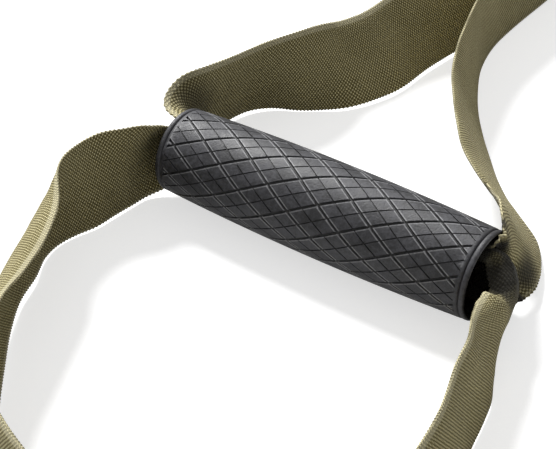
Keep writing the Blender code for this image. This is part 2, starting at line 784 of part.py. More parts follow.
def run_tie(name, parent):
    """The band round the folded runs: it draws them together at their middle."""
    half = webbing_width / 2 + seat_gap
    top = run_height(tail_runs + main_runs - 1, run_middle) + half_thick + seat_gap
    inner = rounded_outline((-half, tie_thickness), (half, top), seat_gap)
    wide = half + tie_thickness
    outer = rounded_outline((-wide, 0), (wide, top + tie_thickness), tie_thickness)
    band = flat_shape(name, outer, tie_width, None, parent)
    band.rotation_euler = (pi / 2, 0, 0)
    band = curve_to_mesh(band)
    hollow = flat_shape(name + "_hollow", inner, tie_width + 2 * cut_overrun, None, parent)
    hollow.rotation_euler = (pi / 2, 0, 0)
    boolean(band, curve_to_mesh(hollow))
    finish_as(band, "tie")
    return band


# Cam buckles, each on an empty at its cam's pivot, with +Y up the leg

def arc(centre, radius, angles):
    return [(centre[0] + radius * cos(radians(a)), centre[1] + radius * sin(radians(a))) for a in angles]


def side_shape(name, outline, width, finish, parent, place=(0, 0, 0)):
    """An outline seen from the side, extruded across the strap."""
    item = flat_shape(name, outline, width, None, parent)
    item.rotation_euler = (pi / 2, 0, pi / 2)
    item.location = place
    item = curve_to_mesh(item)
    finish_as(item, finish)
    return item


def buckle_frame(name, parent):
    """A pressed channel: a plate under the strap and two ears that carry the cam's pin and the bar."""
    outline = [(-buckle_lead, 0), (-buckle_lead, buckle_wall), (-buckle_lead * 0.6, buckle_wall)]
    outline += arc((0, cam_pivot_height), buckle_rim, (165, 140, 115, 90))
    outline += arc((buckle_bar_step, bar_height), buckle_rim, (85, 55, 25, -5, -35, -65))
    outline += [(buckle_tail + buckle_wall, buckle_wall), (buckle_tail, 0)]
    frame = side_shape(name, outline, outer_width, "steel", parent)
    high = cam_pivot_height + buckle_rim + cut_overrun
    far = buckle_bar_step + buckle_rim + cut_overrun
    channel = box(name + "_channel", (-inner_width / 2, -buckle_lead - cut_overrun, buckle_wall),
                  (inner_width / 2, far, high), parent)
    boolean(frame, channel)
    reach = outer_width / 2 + cut_overrun
    holes = {"pivot": (cam_pin_radius, (0, 0, cam_pivot_height)),
             "bar": (bar_radius, (0, buckle_bar_step, bar_height))}
    for part, (radius, place) in holes.items():
        boolean(frame, rod_cutter(f"{name}_{part}_hole", radius + seat_gap, reach, place, parent))
    return frame


def buckle_pin(name, radius, place, parent, finish):
    profile = pin_profile(radius, outer_width / 2 + seat_gap, pin_head_radius, pin_head_height)
    pin = turned(name, profile, finish, parent, segments=pin_segments)
    pin.location = place
    return pin


coil_radius = cam_pin_radius + seat_gap + spring_wire_radius


def cam_lever(name, parent):
    """The toothed cam and its thumb plate, turning on the pin above the strap."""
    teeth = []
    first_angle, last_angle = -145, -35
    for index in range(2 * cam_teeth + 1):
        angle = first_angle + (last_angle - first_angle) * index / (2 * cam_teeth)
        grown = cam_pivot_rise * (1 + cam_growth_share * (angle + 90) / 90)
        radius = grown - (cam_tooth_depth if index % 2 == 0 else 0)
        teeth += arc((0, 0), radius, (angle,))
    back = arc((0, 0), cam_hub_radius, (-10, 20, 50, 80, 105))
    tip = (-cam_lever_length, cam_lever_rise)
    plate = [(tip[0] + 2 * cam_lever_thickness, tip[1] + cam_lever_thickness * 0.2),
             (tip[0] + cam_lever_thickness * 0.6, tip[1] + cam_lever_thickness),
             (tip[0] - cam_lever_thickness * 0.5, tip[1] + cam_lever_thickness * 0.8),
             (tip[0] - cam_lever_thickness * 0.4, tip[1] - cam_lever_thickness * 0.2),
             (tip[0] + 2 * cam_lever_thickness, tip[1] - cam_lever_thickness)]
    plate += arc((0, 0), cam_hub_radius, (172,))
    lever = side_shape(name, teeth + back + plate, inner_width - 2 * cam_side_gap, "blackened", parent)
    reach = inner_width / 2 + cut_overrun
    boolean(lever, rod_cutter(name + "_bore", cam_pin_radius + seat_gap, reach, (0, 0, 0), parent))
    floor_level = -(coil_radius + spring_wire_radius + seat_gap)
    slot = box(name + "_slot", (-spring_slot_width / 2, -spring_slot_back, floor_level),
               (spring_slot_width / 2, cam_hub_radius + cut_overrun, cam_hub_radius + cut_overrun), parent)
    boolean(lever, slot)
    return lever


def cam_spring(name, parent):
    """A torsion spring wound on the pin, in the cam's slot, with a short leg at each end."""
    points_per_turn = 7
    span = spring_slot_width - 4 * spring_wire_radius
    leg = cam_hub_radius - spring_wire_radius
    count = round(spring_turns * points_per_turn)
    points = [(-span / 2, -coil_radius, leg)]
    for index in range(count + 1):
        turn = pi + 2 * pi * index / points_per_turn
        points.append((span * (index / count - 0.5), coil_radius * cos(turn), coil_radius * sin(turn)))
    points.append((span / 2, -coil_radius, leg))
    data = bpy.data.curves.new(name, "CURVE")
    data.dimensions = "3D"
    data.bevel_depth = spring_wire_radius
    data.bevel_resolution = 0
    data.use_fill_caps = True
    spline = data.splines.new("POLY")
    spline.points.add(len(points) - 1)
    for point, place in zip(spline.points, points):
        point.co = (*place, 1)
    return add_object(name, data, "steel", parent)


# Carabiner, flat in its own XY plane, with the strap's eye at its origin and the gate on +X

body_shares = [
    (0.50, 0.255), (0.50, 0.16), (0.485, 0.085), (0.43, 0.025), (0.33, 0), (0.10, 0), (-0.10, 0), (-0.33, 0),
    (-0.43, 0.025), (-0.485, 0.085), (-0.50, 0.17), (-0.50, 0.45), (-0.50, 0.76), (-0.475, 0.86), (-0.40, 0.94),
    (-0.27, 0.985), (0, 1), (0.27, 0.985), (0.40, 0.94), (0.475, 0.86), (0.50, 0.77), (0.50, 0.70)]


def carabiner(parent):
    across = carabiner_width - 2 * rod_radius
    along = carabiner_length - 2 * rod_radius
    pin_place = (across / 2, gate_pin_share * along)
    shoulder = pin_place[1] - gate_swing_radius - gate_gap
    nose = body_shares[-1][1] * along
    route = smooth_route([(x * across, y * along, 0) for x, y in body_shares], rod_step)
    data = bpy.data.curves.new("carabiner_body", "CURVE")
    data.dimensions = "3D"
    data.bevel_depth = rod_radius
    data.bevel_resolution = 2
    data.use_fill_caps = True
    spline = data.splines.new("POLY")
    spline.points.add(len(route) - 1)
    for point, place in zip(spline.points, route):
        point.co = (*place, 1)
    body = curve_to_mesh(add_object("carabiner_body", data, None, parent))
    smooth_sides(body.data)
    finish_as(body, "steel")
    wide = rod_radius + cut_overrun
    for index, side in enumerate((-1, 1)):
        low, high = sorted((side * gate_tongue / 2, side * wide))
        cheek = box(f"tongue_cut_{index}", (pin_place[0] - wide, shoulder, low),
                    (pin_place[0] + wide, pin_place[1] + 2 * wide, high), parent)
        boolean(body, cheek)
    keeper = box("latch_slot", (pin_place[0] - wide, nose - cut_overrun, -latch_thickness / 2 - gate_gap),
                 (pin_place[0] + latch_width / 2 + gate_gap, nose + latch_length + gate_gap,
                  latch_thickness / 2 + gate_gap), parent)
    boolean(body, keeper)
    boolean(body, rod_cutter("gate_pin_hole", gate_pin_radius + seat_gap, wide, (*pin_place, 0), parent, "Z"))

    hinge = add_empty("gate_hinge", (*pin_place, 0), parent=parent)
    bottom = -gate_end_step
    top = nose - pin_place[1] - gate_gap
    bm = bmesh.new()
    bmesh.ops.create_cone(bm, cap_ends=True, segments=pin_segments, radius1=gate_radius, radius2=gate_radius,
                          depth=top - bottom)
    mesh = mesh_from("carabiner_gate", bm)
    smooth_sides(mesh)
    gate = add_object("carabiner_gate", mesh, "steel", hinge)
    gate.rotation_euler = (pi / 2, 0, 0)
    gate.location = (0, (top + bottom) / 2, 0)
    slot = box("gate_slot", (-wide, bottom - cut_overrun, -gate_tongue / 2 - gate_gap),
               (wide, gate_slot_end, gate_tongue / 2 + gate_gap), hinge)
    boolean(gate, slot)
    boolean(gate, rod_cutter("gate_bore", gate_pin_radius + seat_gap, wide, (0, 0, 0), hinge, "Z"))
    latch = box("gate_latch", (-latch_width / 2, top - latch_length / 2, -latch_thickness / 2),
                (latch_width / 2, top + latch_length, latch_thickness / 2), hinge)
    boolean(gate, latch, "UNION")

    shank = [(-gate_radius, 0), (-gate_radius, gate_pin_radius),
             (gate_radius, gate_pin_radius), (gate_radius, 0)]
    turned("gate_pin", shank, "steel", hinge, axis="Z", segments=pin_segments)


# Assembly

def handle(side, hand):
    frame = add_empty(f"handle_{side}", (-hand * handle_spread, grip_y, 0))
    handle_strap(f"handle_strap_{side}", frame, hand)
    foot_cradle(f"foot_cradle_{side}", frame, hand)
    spin = add_empty(f"grip_axis_{side}", (0, 0, axis_height), parent=frame)
    grip_sleeve(f"grip_sleeve_{side}", spin)
    core_tube(f"core_tube_{side}", spin)
    mouth_bush(f"mouth_bush_left_{side}", spin, -1)
    mouth_bush(f"mouth_bush_right_{side}", spin, 1)


def leg(side, hand):
    adjusting_strap(f"adjusting_strap_{side}", hand)
    adjust_tab(f"adjust_tab_{side}", hand)
    turn = (0, 0, -leg_angle * hand)
    run_tie(f"run_tie_{side}", add_empty(f"tie_place_{side}", leg_place(run_middle, hand)[0], turn))
    buckle = add_empty(f"buckle_{side}", leg_place(buckle_place, hand)[0], turn)
    buckle_frame(f"buckle_frame_{side}", buckle)
    buckle_pin(f"cam_pin_{side}", cam_pin_radius, (0, 0, cam_pivot_height), buckle, "steel")
    buckle_pin(f"strap_bar_{side}", bar_radius, (0, buckle_bar_step, bar_height), buckle, "steel")
    pivot = add_empty(f"cam_axis_{side}", (0, 0, cam_pivot_height), parent=buckle)
    cam_lever(f"cam_lever_{side}", pivot)
    cam_spring(f"cam_spring_{side}", pivot)


def build():
    for side, hand in (("a", 1), ("b", -1)):
        handle(side, hand)
        leg(side, hand)
    main_strap()
    tilt = asin((eye_height - rod_radius) / (carabiner_length - 2 * rod_radius))
    carabiner(add_empty("carabiner_eye", (0, eye_place, eye_height), (-tilt, 0, 0)))


build()
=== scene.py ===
import json
from bisect import bisect_right
from math import asin, atan2, ceil, cos, hypot, pi, radians, sin, sqrt
import bmesh
import bpy
from mathutils import Matrix, Vector


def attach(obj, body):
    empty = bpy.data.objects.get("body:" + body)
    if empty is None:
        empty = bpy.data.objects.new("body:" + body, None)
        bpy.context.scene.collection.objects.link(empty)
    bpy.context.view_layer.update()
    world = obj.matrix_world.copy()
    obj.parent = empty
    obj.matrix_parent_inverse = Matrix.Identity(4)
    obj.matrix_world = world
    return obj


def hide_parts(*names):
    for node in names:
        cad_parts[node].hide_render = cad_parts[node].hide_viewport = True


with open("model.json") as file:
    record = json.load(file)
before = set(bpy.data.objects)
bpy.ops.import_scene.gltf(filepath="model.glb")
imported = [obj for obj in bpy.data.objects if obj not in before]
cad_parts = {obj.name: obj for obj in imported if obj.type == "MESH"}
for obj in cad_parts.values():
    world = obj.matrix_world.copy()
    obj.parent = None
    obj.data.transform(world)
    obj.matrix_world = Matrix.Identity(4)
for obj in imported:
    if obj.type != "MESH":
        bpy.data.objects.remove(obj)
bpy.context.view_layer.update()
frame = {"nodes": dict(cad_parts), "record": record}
nodes = frame["nodes"]
bodyOfNode = {node: body for body, group in frame["record"]["behaviour"]["bodies"].items() for node in group}
hands = {"a": 1, "b": -1}   # the right handle is the left one in a mirror
print("frame loaded,", len(nodes), "nodes")


# camera, lamp, world and floor

view = {"place": (0.1057, -1.1396, 0.3728), "tilt": 52.47, "heading": 35.25, "lens": 99.45, "sensor": 36}


def placeCamera():
    camera = bpy.data.objects.new("photoCamera", bpy.data.cameras.new("photoCamera"))
    bpy.context.scene.collection.objects.link(camera)
    camera.location = view["place"]
    camera.rotation_euler = (radians(view["tilt"]), 0, radians(view["heading"]))
    camera.data.sensor_fit = "HORIZONTAL"
    camera.data.sensor_width = view["sensor"]
    camera.data.lens = view["lens"]
    camera.data.clip_start = 0.01
    bpy.context.scene.camera = camera


class Wire:
    # a socket of a material; sums and products of values add their Math nodes

    def __init__(self, tree, socket=None):
        self.tree = tree
        self.socket = socket

    def node(self, kind, settings=None, values=None, output=0):
        made = self.tree.nodes.new(kind)
        for name, value in (settings or {}).items():
            if name == "stops":
                ramp = made.color_ramp
                while len(ramp.elements) < len(value):
                    ramp.elements.new(1)
                for element, (place, colour) in zip(ramp.elements, value):
                    element.position = place
                    element.color = (*colour, 1)
            else:
                setattr(made, name, value)
        for name, value in (values or {}).items():
            if isinstance(value, Wire):
                self.tree.links.new(value.socket, made.inputs[name])
            else:
                made.inputs[name].default_value = value
        return Wire(self.tree, made.outputs[output])

    def maths(self, operation, *values):
        return self.node("ShaderNodeMath", {"operation": operation}, dict(enumerate(values)))

    def __add__(self, other):
        return self.maths("ADD", self, other)

    def __radd__(self, other):
        return self.maths("ADD", other, self)

    def __sub__(self, other):
        return self.maths("SUBTRACT", self, other)

    def __rsub__(self, other):
        return self.maths("SUBTRACT", other, self)

    def __mul__(self, other):
        return self.maths("MULTIPLY", self, other)

    def __rmul__(self, other):
        return self.maths("MULTIPLY", other, self)

    def __truediv__(self, other):
        return self.maths("DIVIDE", self, other)

    def __mod__(self, other):
        return self.maths("MODULO", self, other)

    def __pow__(self, other):
        return self.maths("POWER", self, other)

    def __abs__(self):
        return self.maths("ABSOLUTE", self)

    def within(self, low, high):
        return self.node("ShaderNodeMapRange", {"interpolation_type": "SMOOTHSTEP"},
                         {"Value": self, "From Min": low, "From Max": high})

    def blend(self, first, second):
        pair = [(*c, 1) if isinstance(c, tuple) else c for c in (first, second)]
        return self.node("ShaderNodeMix", {"data_type": "RGBA"}, {0: self, 6: pair[0], 7: pair[1]}, 2)


def newMaterial(name, constants):
    material = bpy.data.materials.new(name)
    material.use_nodes = True
    shader = material.node_tree.nodes["Principled BSDF"]
    for socket, value in constants.items():
        shader.inputs[socket].default_value = (*value, 1) if isinstance(value, tuple) else value
    return material, shader, Wire(material.node_tree)


def feed(shader, socket, wire):
    wire.tree.links.new(wire.socket, shader.inputs[socket])


def bumpFrom(wire, height, distance, strength=1.0):
    return wire.node("ShaderNodeBump", None, {"Height": height, "Distance": distance, "Strength": strength})


def objectNoise(wire, scale, detail=3, roughness=0.5, stretch=(1, 1, 1)):
    coords = wire.node("ShaderNodeTexCoord", None, None, "Object")
    moved = wire.node("ShaderNodeMapping", None, {"Vector": coords, "Scale": stretch})
    return wire.node("ShaderNodeTexNoise", None, {"Vector": moved, "Scale": scale, "Detail": detail,
                                                  "Roughness": roughness})


light = {"sunStrength": 4.9, "sunElevation": 46, "sunHeading": 62, "sunSoftness": 14, "skyStrength": 0.40,
         "floorColour": 0.60, "floorLift": 0.63, "floorSize": 6.0, "floorLevel": -0.0004, "floorY": -0.4,
         "glossShare": 0.35, "floorGloss": 0.5}


def makeStage():
    sun = bpy.data.objects.new("windowSun", bpy.data.lights.new("windowSun", "SUN"))
    bpy.context.scene.collection.objects.link(sun)
    sun.data.energy = light["sunStrength"]
    sun.data.angle = radians(light["sunSoftness"])
    sun.rotation_euler = (radians(90 - light["sunElevation"]), 0, radians(180 + light["sunHeading"]))
    world = bpy.data.worlds.new("paleRoom")
    world.use_nodes = True
    bpy.context.scene.world = world
    wire = Wire(world.node_tree)
    path = {name: wire.node("ShaderNodeLightPath", None, None, name) for name in
            ("Is Camera Ray", "Is Glossy Ray", "Is Transmission Ray")}
    seen = wire.maths("MAXIMUM", path["Is Camera Ray"], path["Is Transmission Ray"])
    background = world.node_tree.nodes["Background"]
    background.inputs["Color"].default_value = (1, 1, 1, 1)
    strength = light["skyStrength"] + seen * (1 - light["skyStrength"])
    mirrored = path["Is Glossy Ray"] * light["glossShare"]
    world.node_tree.links.new((strength + mirrored).socket, background.inputs["Strength"])
    bm = bmesh.new()
    bmesh.ops.create_grid(bm, x_segments=1, y_segments=1, size=light["floorSize"] / 2)
    bmesh.ops.translate(bm, verts=bm.verts, vec=(0, light["floorY"], light["floorLevel"]))
    mesh = bpy.data.meshes.new("paleFloor")
    bm.to_mesh(mesh)
    bm.free()
    floor = bpy.data.objects.new("paleFloor", mesh)
    bpy.context.scene.collection.objects.link(floor)
    grey = light["floorColour"]
    constants = {"Base Color": (grey, grey, grey), "Roughness": 0.9, "Specular IOR Level": 0.1,
                 "Emission Color": (1, 1, 1)}
    material, shader, wire = newMaterial("paleFloor", constants)
    cameraRay = wire.node("ShaderNodeLightPath", None, None, "Is Camera Ray")
    glossyRay = wire.node("ShaderNodeLightPath", None, None, "Is Glossy Ray")
    feed(shader, "Emission Strength", (cameraRay + glossyRay * light["floorGloss"]) * light["floorLift"])
    mesh.materials.append(material)


# where the grips are, and the lattice of their grooves

handlePlace = {"spread": 0.150, "gripY": -0.746, "axisHeight": 0.0198}
grip = {"length": 0.140, "endRadius": 0.0174, "bellyRadius": 0.0192, "pattern": 0.132, "slope": 1.75,
        "spacing": 20, "flatPhase": 26.5, "steepPhase": 8.0,
        "bold": ((-0.098, 0), (-0.062, 0.72), (-0.030, 1), (0.030, 1), (0.062, 0.72), (0.098, 0)),
        "thin": ((-0.046, 0), (-0.020, 1), (0.020, 1), (0.046, 0)), "between": (0.36, 0.64),
        "boldDepth": 0.00075, "thinDepth": 0.00042, "seam": -90,
        "lipRadius": 0.0175, "lipWidth": 0.0020, "ringWidth": 0.0008, "ringDepth": 0.0007,
        "mouthRadius": 0.0162, "mouthDepth": 0.0045, "bore": 0.0154, "ease": 0.0003, "edgeRun": 0.0004,
        "edgeDrop": 0.00008, "lipDrop": 0.00015, "round": 0.0009, "roundDrop": 0.0008}
bush = {"back": 0.060, "face": 0.0692, "shoulder": 0.0658, "flange": 0.0159, "rim": 0.0002, "outside": 0.0151,
        "mouth": 0.0154, "throat": 0.0138, "steps": 12}


# materials

weave = {"rib": 0.00070, "warp": 0.00092, "face": 0.038, "turn": 0.040, "depth": 0.00045, "scallop": 0.0015,
         "fringe": 0.0012, "edgeShare": 0.3, "pale": (0.66, 0.590, 0.330), "deep": (0.110, 0.088, 0.024),
         "edgeFuzzAndHighlight": (0.80, 0.75, 0.54), "dark": (0.006, 0.005, 0.003)}
shade = {"grip": 0.141, "line": -0.746, "near": 0.072, "far": 0.083, "reach": 0.0105, "fade": 0.0165,
         "share": 0.985, "low": 0.028, "high": 0.035, "face": (0.0600, 0.0625), "core": (0.35, 1.2)}
hollows = [{"centre": (0.0780, -0.7250, 0.0080), "size": (0.0120, 0.0125, 0.0095), "share": 0.90},
           {"centre": (0.2340, -0.7270, 0.0220), "size": (0.0140, 0.0200, 0.0190), "share": 0.70}]


def mouthShade(wire):
    # how far a place of a strap is darkened, in a grip's mouth or in a fold beside it; this is colour and not
    # light, and stands in for shade that the lamp alone doesn't give there
    coords = wire.node("ShaderNodeTexCoord", None, None, "Object")
    x, y, z = [wire.node("ShaderNodeSeparateXYZ", None, {"Vector": coords}, axis) for axis in "XYZ"]
    reach = abs(abs(x) - shade["grip"])
    raised = z.within(shade["low"], shade["high"]) * reach.within(*shade["face"])
    aside = abs(y - shade["line"]).within(shade["reach"], shade["fade"])
    dark = (1 - reach.within(shade["near"], shade["far"])) * (1 - aside) * (1 - raised) * shade["share"]
    for hollow in hollows:
        parts = [(value - middle) / size for value, middle, size in
                 zip((abs(x), y, z), hollow["centre"], hollow["size"])]
        away = (parts[0] * parts[0] + parts[1] * parts[1] + parts[2] * parts[2]) ** 0.5
        dark = wire.maths("MAXIMUM", dark, (1 - away.within(*shade["core"])) * hollow["share"])
    return dark


def webbingMaterial():
    material, shader, wire = newMaterial("oliveWebbing", {"Roughness": 0.88, "Specular IOR Level": 0.25,
                                                          "Sheen Weight": 0.06, "Sheen Roughness": 0.5,
                                                          "Sheen Tint": (0.96, 0.94, 0.84)})
    place = wire.node("ShaderNodeUVMap", {"uv_map": "weave"})
    along = wire.node("ShaderNodeSeparateXYZ", None, {"Vector": place}, "X")
    across = wire.node("ShaderNodeSeparateXYZ", None, {"Vector": place}, "Y")
    drift = wire.node("ShaderNodeTexNoise", None, {"Vector": place, "Scale": 420.0, "Detail": 2.0})
    warpTurn = (across + drift * 0.00024) * (pi / weave["warp"])
    ribTurn = (along + drift * 0.00030) * (pi / weave["rib"])
    cell = wire.maths("COSINE", ribTurn) * wire.maths("COSINE", warpTurn)
    grain = (cell * 0.5 + 0.5).within(0.36, 0.80)
    cloud = wire.node("ShaderNodeTexNoise", None, {"Vector": place, "Scale": 60.0, "Detail": 4.0})
    fluff = wire.node("ShaderNodeTexNoise", None, {"Vector": place, "Scale": 3200.0, "Detail": 2.0})
    patchy = wire.node("ShaderNodeTexNoise", None, {"Vector": place, "Scale": 900.0, "Detail": 1.0})
    half = weave["face"] / 2
    # the edges are painted paler: fuzz of the edge fibres, and a painted highlight where they catch the light
    edge = abs(across % weave["turn"] - half).within(half - weave["fringe"], half)
    lit = grain * (0.62 + patchy * 0.5) + (cloud - 0.5) * 0.30 + edge * 0.1
    cloth = lit.within(-0.12, 0.98).blend(weave["deep"], weave["pale"])
    fringe = (edge * (fluff * 0.9 - 0.1)).blend(cloth, weave["edgeFuzzAndHighlight"])
    feed(shader, "Base Color", mouthShade(wire).blend(fringe, weave["dark"]))
    feed(shader, "Normal", bumpFrom(wire, grain + fluff * 0.3, weave["depth"]))
    feed(shader, "Roughness", 0.78 + fluff * 0.2)
    return material


def threadMaterial(name, pale, deep):
    material, shader, wire = newMaterial(name, {"Specular IOR Level": 0.35})
    noise = objectNoise(wire, 1800.0, 2)
    feed(shader, "Base Color", noise.within(0.3, 0.7).blend(deep, pale))
    feed(shader, "Normal", bumpFrom(wire, noise, 0.00012))
    feed(shader, "Roughness", 0.55 + noise * 0.2)
    return material


def tieMaterial():
    material, shader, wire = newMaterial("blackTape", {"Specular IOR Level": 0.3, "Sheen Weight": 0.2})
    place = wire.node("ShaderNodeUVMap", {"uv_map": "weave"})
    along = wire.node("ShaderNodeSeparateXYZ", None, {"Vector": place}, "X")
    across = wire.node("ShaderNodeSeparateXYZ", None, {"Vector": place}, "Y")
    cell = wire.maths("COSINE", along * (pi / 0.0009)) * wire.maths("COSINE", across * (pi / 0.0007))
    fluff = wire.node("ShaderNodeTexNoise", None, {"Vector": place, "Scale": 2600.0, "Detail": 3.0})
    nap = abs(cell) ** 0.6 * 0.6 + fluff * 0.6
    feed(shader, "Base Color", nap.within(0.1, 1.1).blend((0.010, 0.010, 0.011), (0.050, 0.050, 0.052)))
    feed(shader, "Normal", bumpFrom(wire, nap, 0.0002))
    feed(shader, "Roughness", 0.8 + fluff * 0.15)
    return material


def grooveHighlightLine(lattice, place):
    # a thin line beside each bold groove, whose places are the lattice's even numbers; it carries a painted
    # highlight along the groove's edge
    return 1 - abs((lattice + 41) % 2 - 1 - place).within(0.020, 0.058)


def grooveShade(wire, lattice):
    # painted shade in the bottoms of the bold grooves and, halfway between, of the thin ones
    away = abs((lattice + 41) % 2 - 1)
    return wire.maths("MAXIMUM", 1 - away.within(0.045, 0.090), away.within(0.950, 0.980))


def rubberMaterial():
    material, shader, wire = newMaterial("gripRubber", {"Specular IOR Level": 0.5})
    cloud = objectNoise(wire, 95.0, 5, 0.6)
    skin = objectNoise(wire, 1500.0, 3, 0.55)
    speckle = objectNoise(wire, 620.0, 4, 0.7)
    bloom = (cloud * 0.4 + speckle * 0.6).within(0.41, 0.61)
    coords = wire.node("ShaderNodeTexCoord", None, None, "Object")
    x, y, z = [wire.node("ShaderNodeSeparateXYZ", None, {"Vector": coords}, axis) for axis in "XYZ"]
    around = wire.maths("ARCTAN2", z - handlePlace["axisHeight"], y - handlePlace["gripY"]) * (180 / pi)
    along = handlePlace["spread"] - abs(x)
    twist = along * (1000 * grip["slope"])
    flat, steep = [(turned - grip[phase]) / grip["spacing"] for turned, phase in
                   ((around + twist, "flatPhase"), (around - twist, "steepPhase"))]
    # painted highlight: pale lines along the groove edges, broken up by the speckle
    highlightLines = wire.maths("MAXIMUM", wire.maths("MAXIMUM", grooveHighlightLine(steep, 0.13), grooveHighlightLine(steep, -0.13)),
                      grooveHighlightLine(flat, 0.13) * 0.8)
    wearAndHighlight = highlightLines * (speckle * 1.5 - 0.1)
    inside = 1 - abs(along).within(grip["pattern"] / 2 - 0.001, grip["pattern"] / 2)
    shadedFloors = wire.maths("MAXIMUM", grooveShade(wire, flat), grooveShade(wire, steep)) * 0.9
    skinColour = bloom.blend((0.008, 0.008, 0.010), (0.042, 0.042, 0.049))
    highlighted = (wearAndHighlight * inside).blend(skinColour, (0.27, 0.27, 0.28))
    # painted shade: the groove bottoms are darkened almost to black
    feed(shader, "Base Color", (shadedFloors * inside).blend(highlighted, (0.002, 0.002, 0.002)))
    feed(shader, "Roughness", 0.43 + bloom * 0.12 + skin * 0.14)
    feed(shader, "Normal", bumpFrom(wire, skin + speckle * 0.8, 0.00014))
    return material


def mouldedMaterial(name, pale, deep, roughness, grain):
    material, shader, wire = newMaterial(name, {"Specular IOR Level": 0.5})
    cloud = objectNoise(wire, 140.0, 4, 0.55)
    skin = objectNoise(wire, 2600.0, 2)
    feed(shader, "Base Color", cloud.within(0.3, 0.7).blend(deep, pale))
    feed(shader, "Roughness", roughness - 0.05 + skin * 0.1 + cloud * 0.06)
    feed(shader, "Normal", bumpFrom(wire, skin, grain))
    return material


def steelMaterial(name, pale, deep, roughness, stretch):
    material, shader, wire = newMaterial(name, {"Metallic": 1.0})
    brush = objectNoise(wire, 420.0, 4, 0.65, stretch)
    cloud = objectNoise(wire, 60.0, 4, 0.6)
    feed(shader, "Base Color", (cloud * 0.7 + brush * 0.3).within(0.3, 0.7).blend(deep, pale))
    feed(shader, "Roughness", roughness - 0.06 + brush * 0.12 + cloud * 0.08)
    feed(shader, "Normal", bumpFrom(wire, brush, 0.00003))
    return material


def coatedMaterial():
    material, shader, wire = newMaterial("blackCoat", {"Specular IOR Level": 0.5, "Coat Roughness": 0.25})
    cloud = objectNoise(wire, 210.0, 5, 0.65)
    skin = objectNoise(wire, 1400.0, 2)
    # patches where the black coat is worn through to the metal
    wearAndHighlight = cloud.within(0.66, 0.72)
    feed(shader, "Base Color", wearAndHighlight.blend((0.017, 0.017, 0.019), (0.22, 0.22, 0.23)))
    feed(shader, "Metallic", wearAndHighlight * 0.9)
    feed(shader, "Roughness", 0.38 + skin * 0.16)
    feed(shader, "Normal", bumpFrom(wire, skin - wearAndHighlight * 0.5, 0.00004))
    return material


finishes = {
    "webbing": webbingMaterial(),
    "thread": threadMaterial("oliveThread", (0.50, 0.46, 0.27), (0.24, 0.215, 0.11)),
    "blackThread": threadMaterial("blackThread", (0.06, 0.06, 0.062), (0.016, 0.016, 0.017)),
    "tie": tieMaterial(),
    "rubber": rubberMaterial(),
    "bush": mouldedMaterial("mouthPlastic", (0.014, 0.014, 0.015), (0.008, 0.008, 0.009), 0.45, 0.00002),
    "tube": mouldedMaterial("tubePlastic", (0.55, 0.56, 0.58), (0.46, 0.47, 0.49), 0.42, 0.00003),
    "steel": steelMaterial("zincSteel", (0.47, 0.47, 0.48), (0.31, 0.31, 0.33), 0.32, (1, 7, 7)),
    "polished": steelMaterial("polishedSteel", (0.50, 0.50, 0.51), (0.36, 0.36, 0.38), 0.22, (5, 1, 5)),
    "coated": coatedMaterial(),
}
print("materials made,", len(finishes))


# shaping helpers

noBends = (0, 0, 0, 0, 0)


def mix(first, second, share):
    return [p + (q - p) * share for p, q in zip(first, second)]


def easeIn(share):
    share = min(max(share, 0.0), 1.0)
    return share * share * (3 - 2 * share)


def gap(first, second):
    return sqrt(sum((p - q) ** 2 for p, q in zip(first[:3], second[:3])))


def smoothRoute(stations, step):
    # centripetal curve through stations whose first three values are a place
    first = [2 * a - b for a, b in zip(stations[0], stations[1])]
    last = [2 * a - b for a, b in zip(stations[-1], stations[-2])]
    points = [first] + [list(station) for station in stations] + [last]
    rows = []
    for a, b, c, d in zip(points, points[1:], points[2:], points[3:]):
        knots = [0.0]
        for one, two in ((a, b), (b, c), (c, d)):
            knots.append(knots[-1] + sqrt(max(gap(one, two), 0.000005)))
        t0, t1, t2, t3 = knots
        count = max(1, ceil(gap(b, c) / step))
        for index in range(count):
            t = t1 + (t2 - t1) * index / count
            a1, a2, a3 = (mix(a, b, (t - t0) / (t1 - t0)), mix(b, c, (t - t1) / (t2 - t1)),
                          mix(c, d, (t - t2) / (t3 - t2)))
            b1, b2 = mix(a1, a2, (t - t0) / (t2 - t0)), mix(a2, a3, (t - t1) / (t3 - t1))
            rows.append(mix(b1, b2, (t - t1) / (t2 - t1)))
    rows.append(list(stations[-1]))
    return rows


def evenly(points, spacing):
    # the same line with its points a set distance apart
    lengths = [0.0]
    for one, two in zip(points, points[1:]):
        lengths.append(lengths[-1] + gap(one, two))
    count = max(2, round(lengths[-1] / spacing))
    made = []
    for index in range(count + 1):
        target = lengths[-1] * index / count
        place = min(bisect_right(lengths, target) - 1, len(points) - 2)
        span = lengths[place + 1] - lengths[place]
        made.append(mix(points[place], points[place + 1], (target - lengths[place]) / span if span else 0))
    return made


def tangents(places):
    ahead = places[1:] + [places[-1]]
    behind = [places[0]] + places[:-1]
    return [(Vector(q[:3]) - Vector(p[:3])).normalized() for p, q in zip(behind, ahead)]


def standingRows(stations):
    # a strap on its edge: a lean tips its top edge to the left, and the bends curl it across its width
    rows = []
    for (x, y, z, lean, *bends), along in zip(stations, tangents(stations)):
        side = Vector((-along.y, along.x, 0)).normalized()
        across = Vector((0, 0, 1)) * cos(radians(lean)) + side * sin(radians(lean))
        across = (across - along * across.dot(along)).normalized()
        rows.append((Vector((x, y, z)), across, bends, along))
    return rows


def faceRows(stations):
    # a strap whose width direction is the last three values of each station
    return [(Vector(row[:3]), Vector(row[3:6]).normalized(), noBends, along)
            for row, along in zip(stations, tangents(stations))]


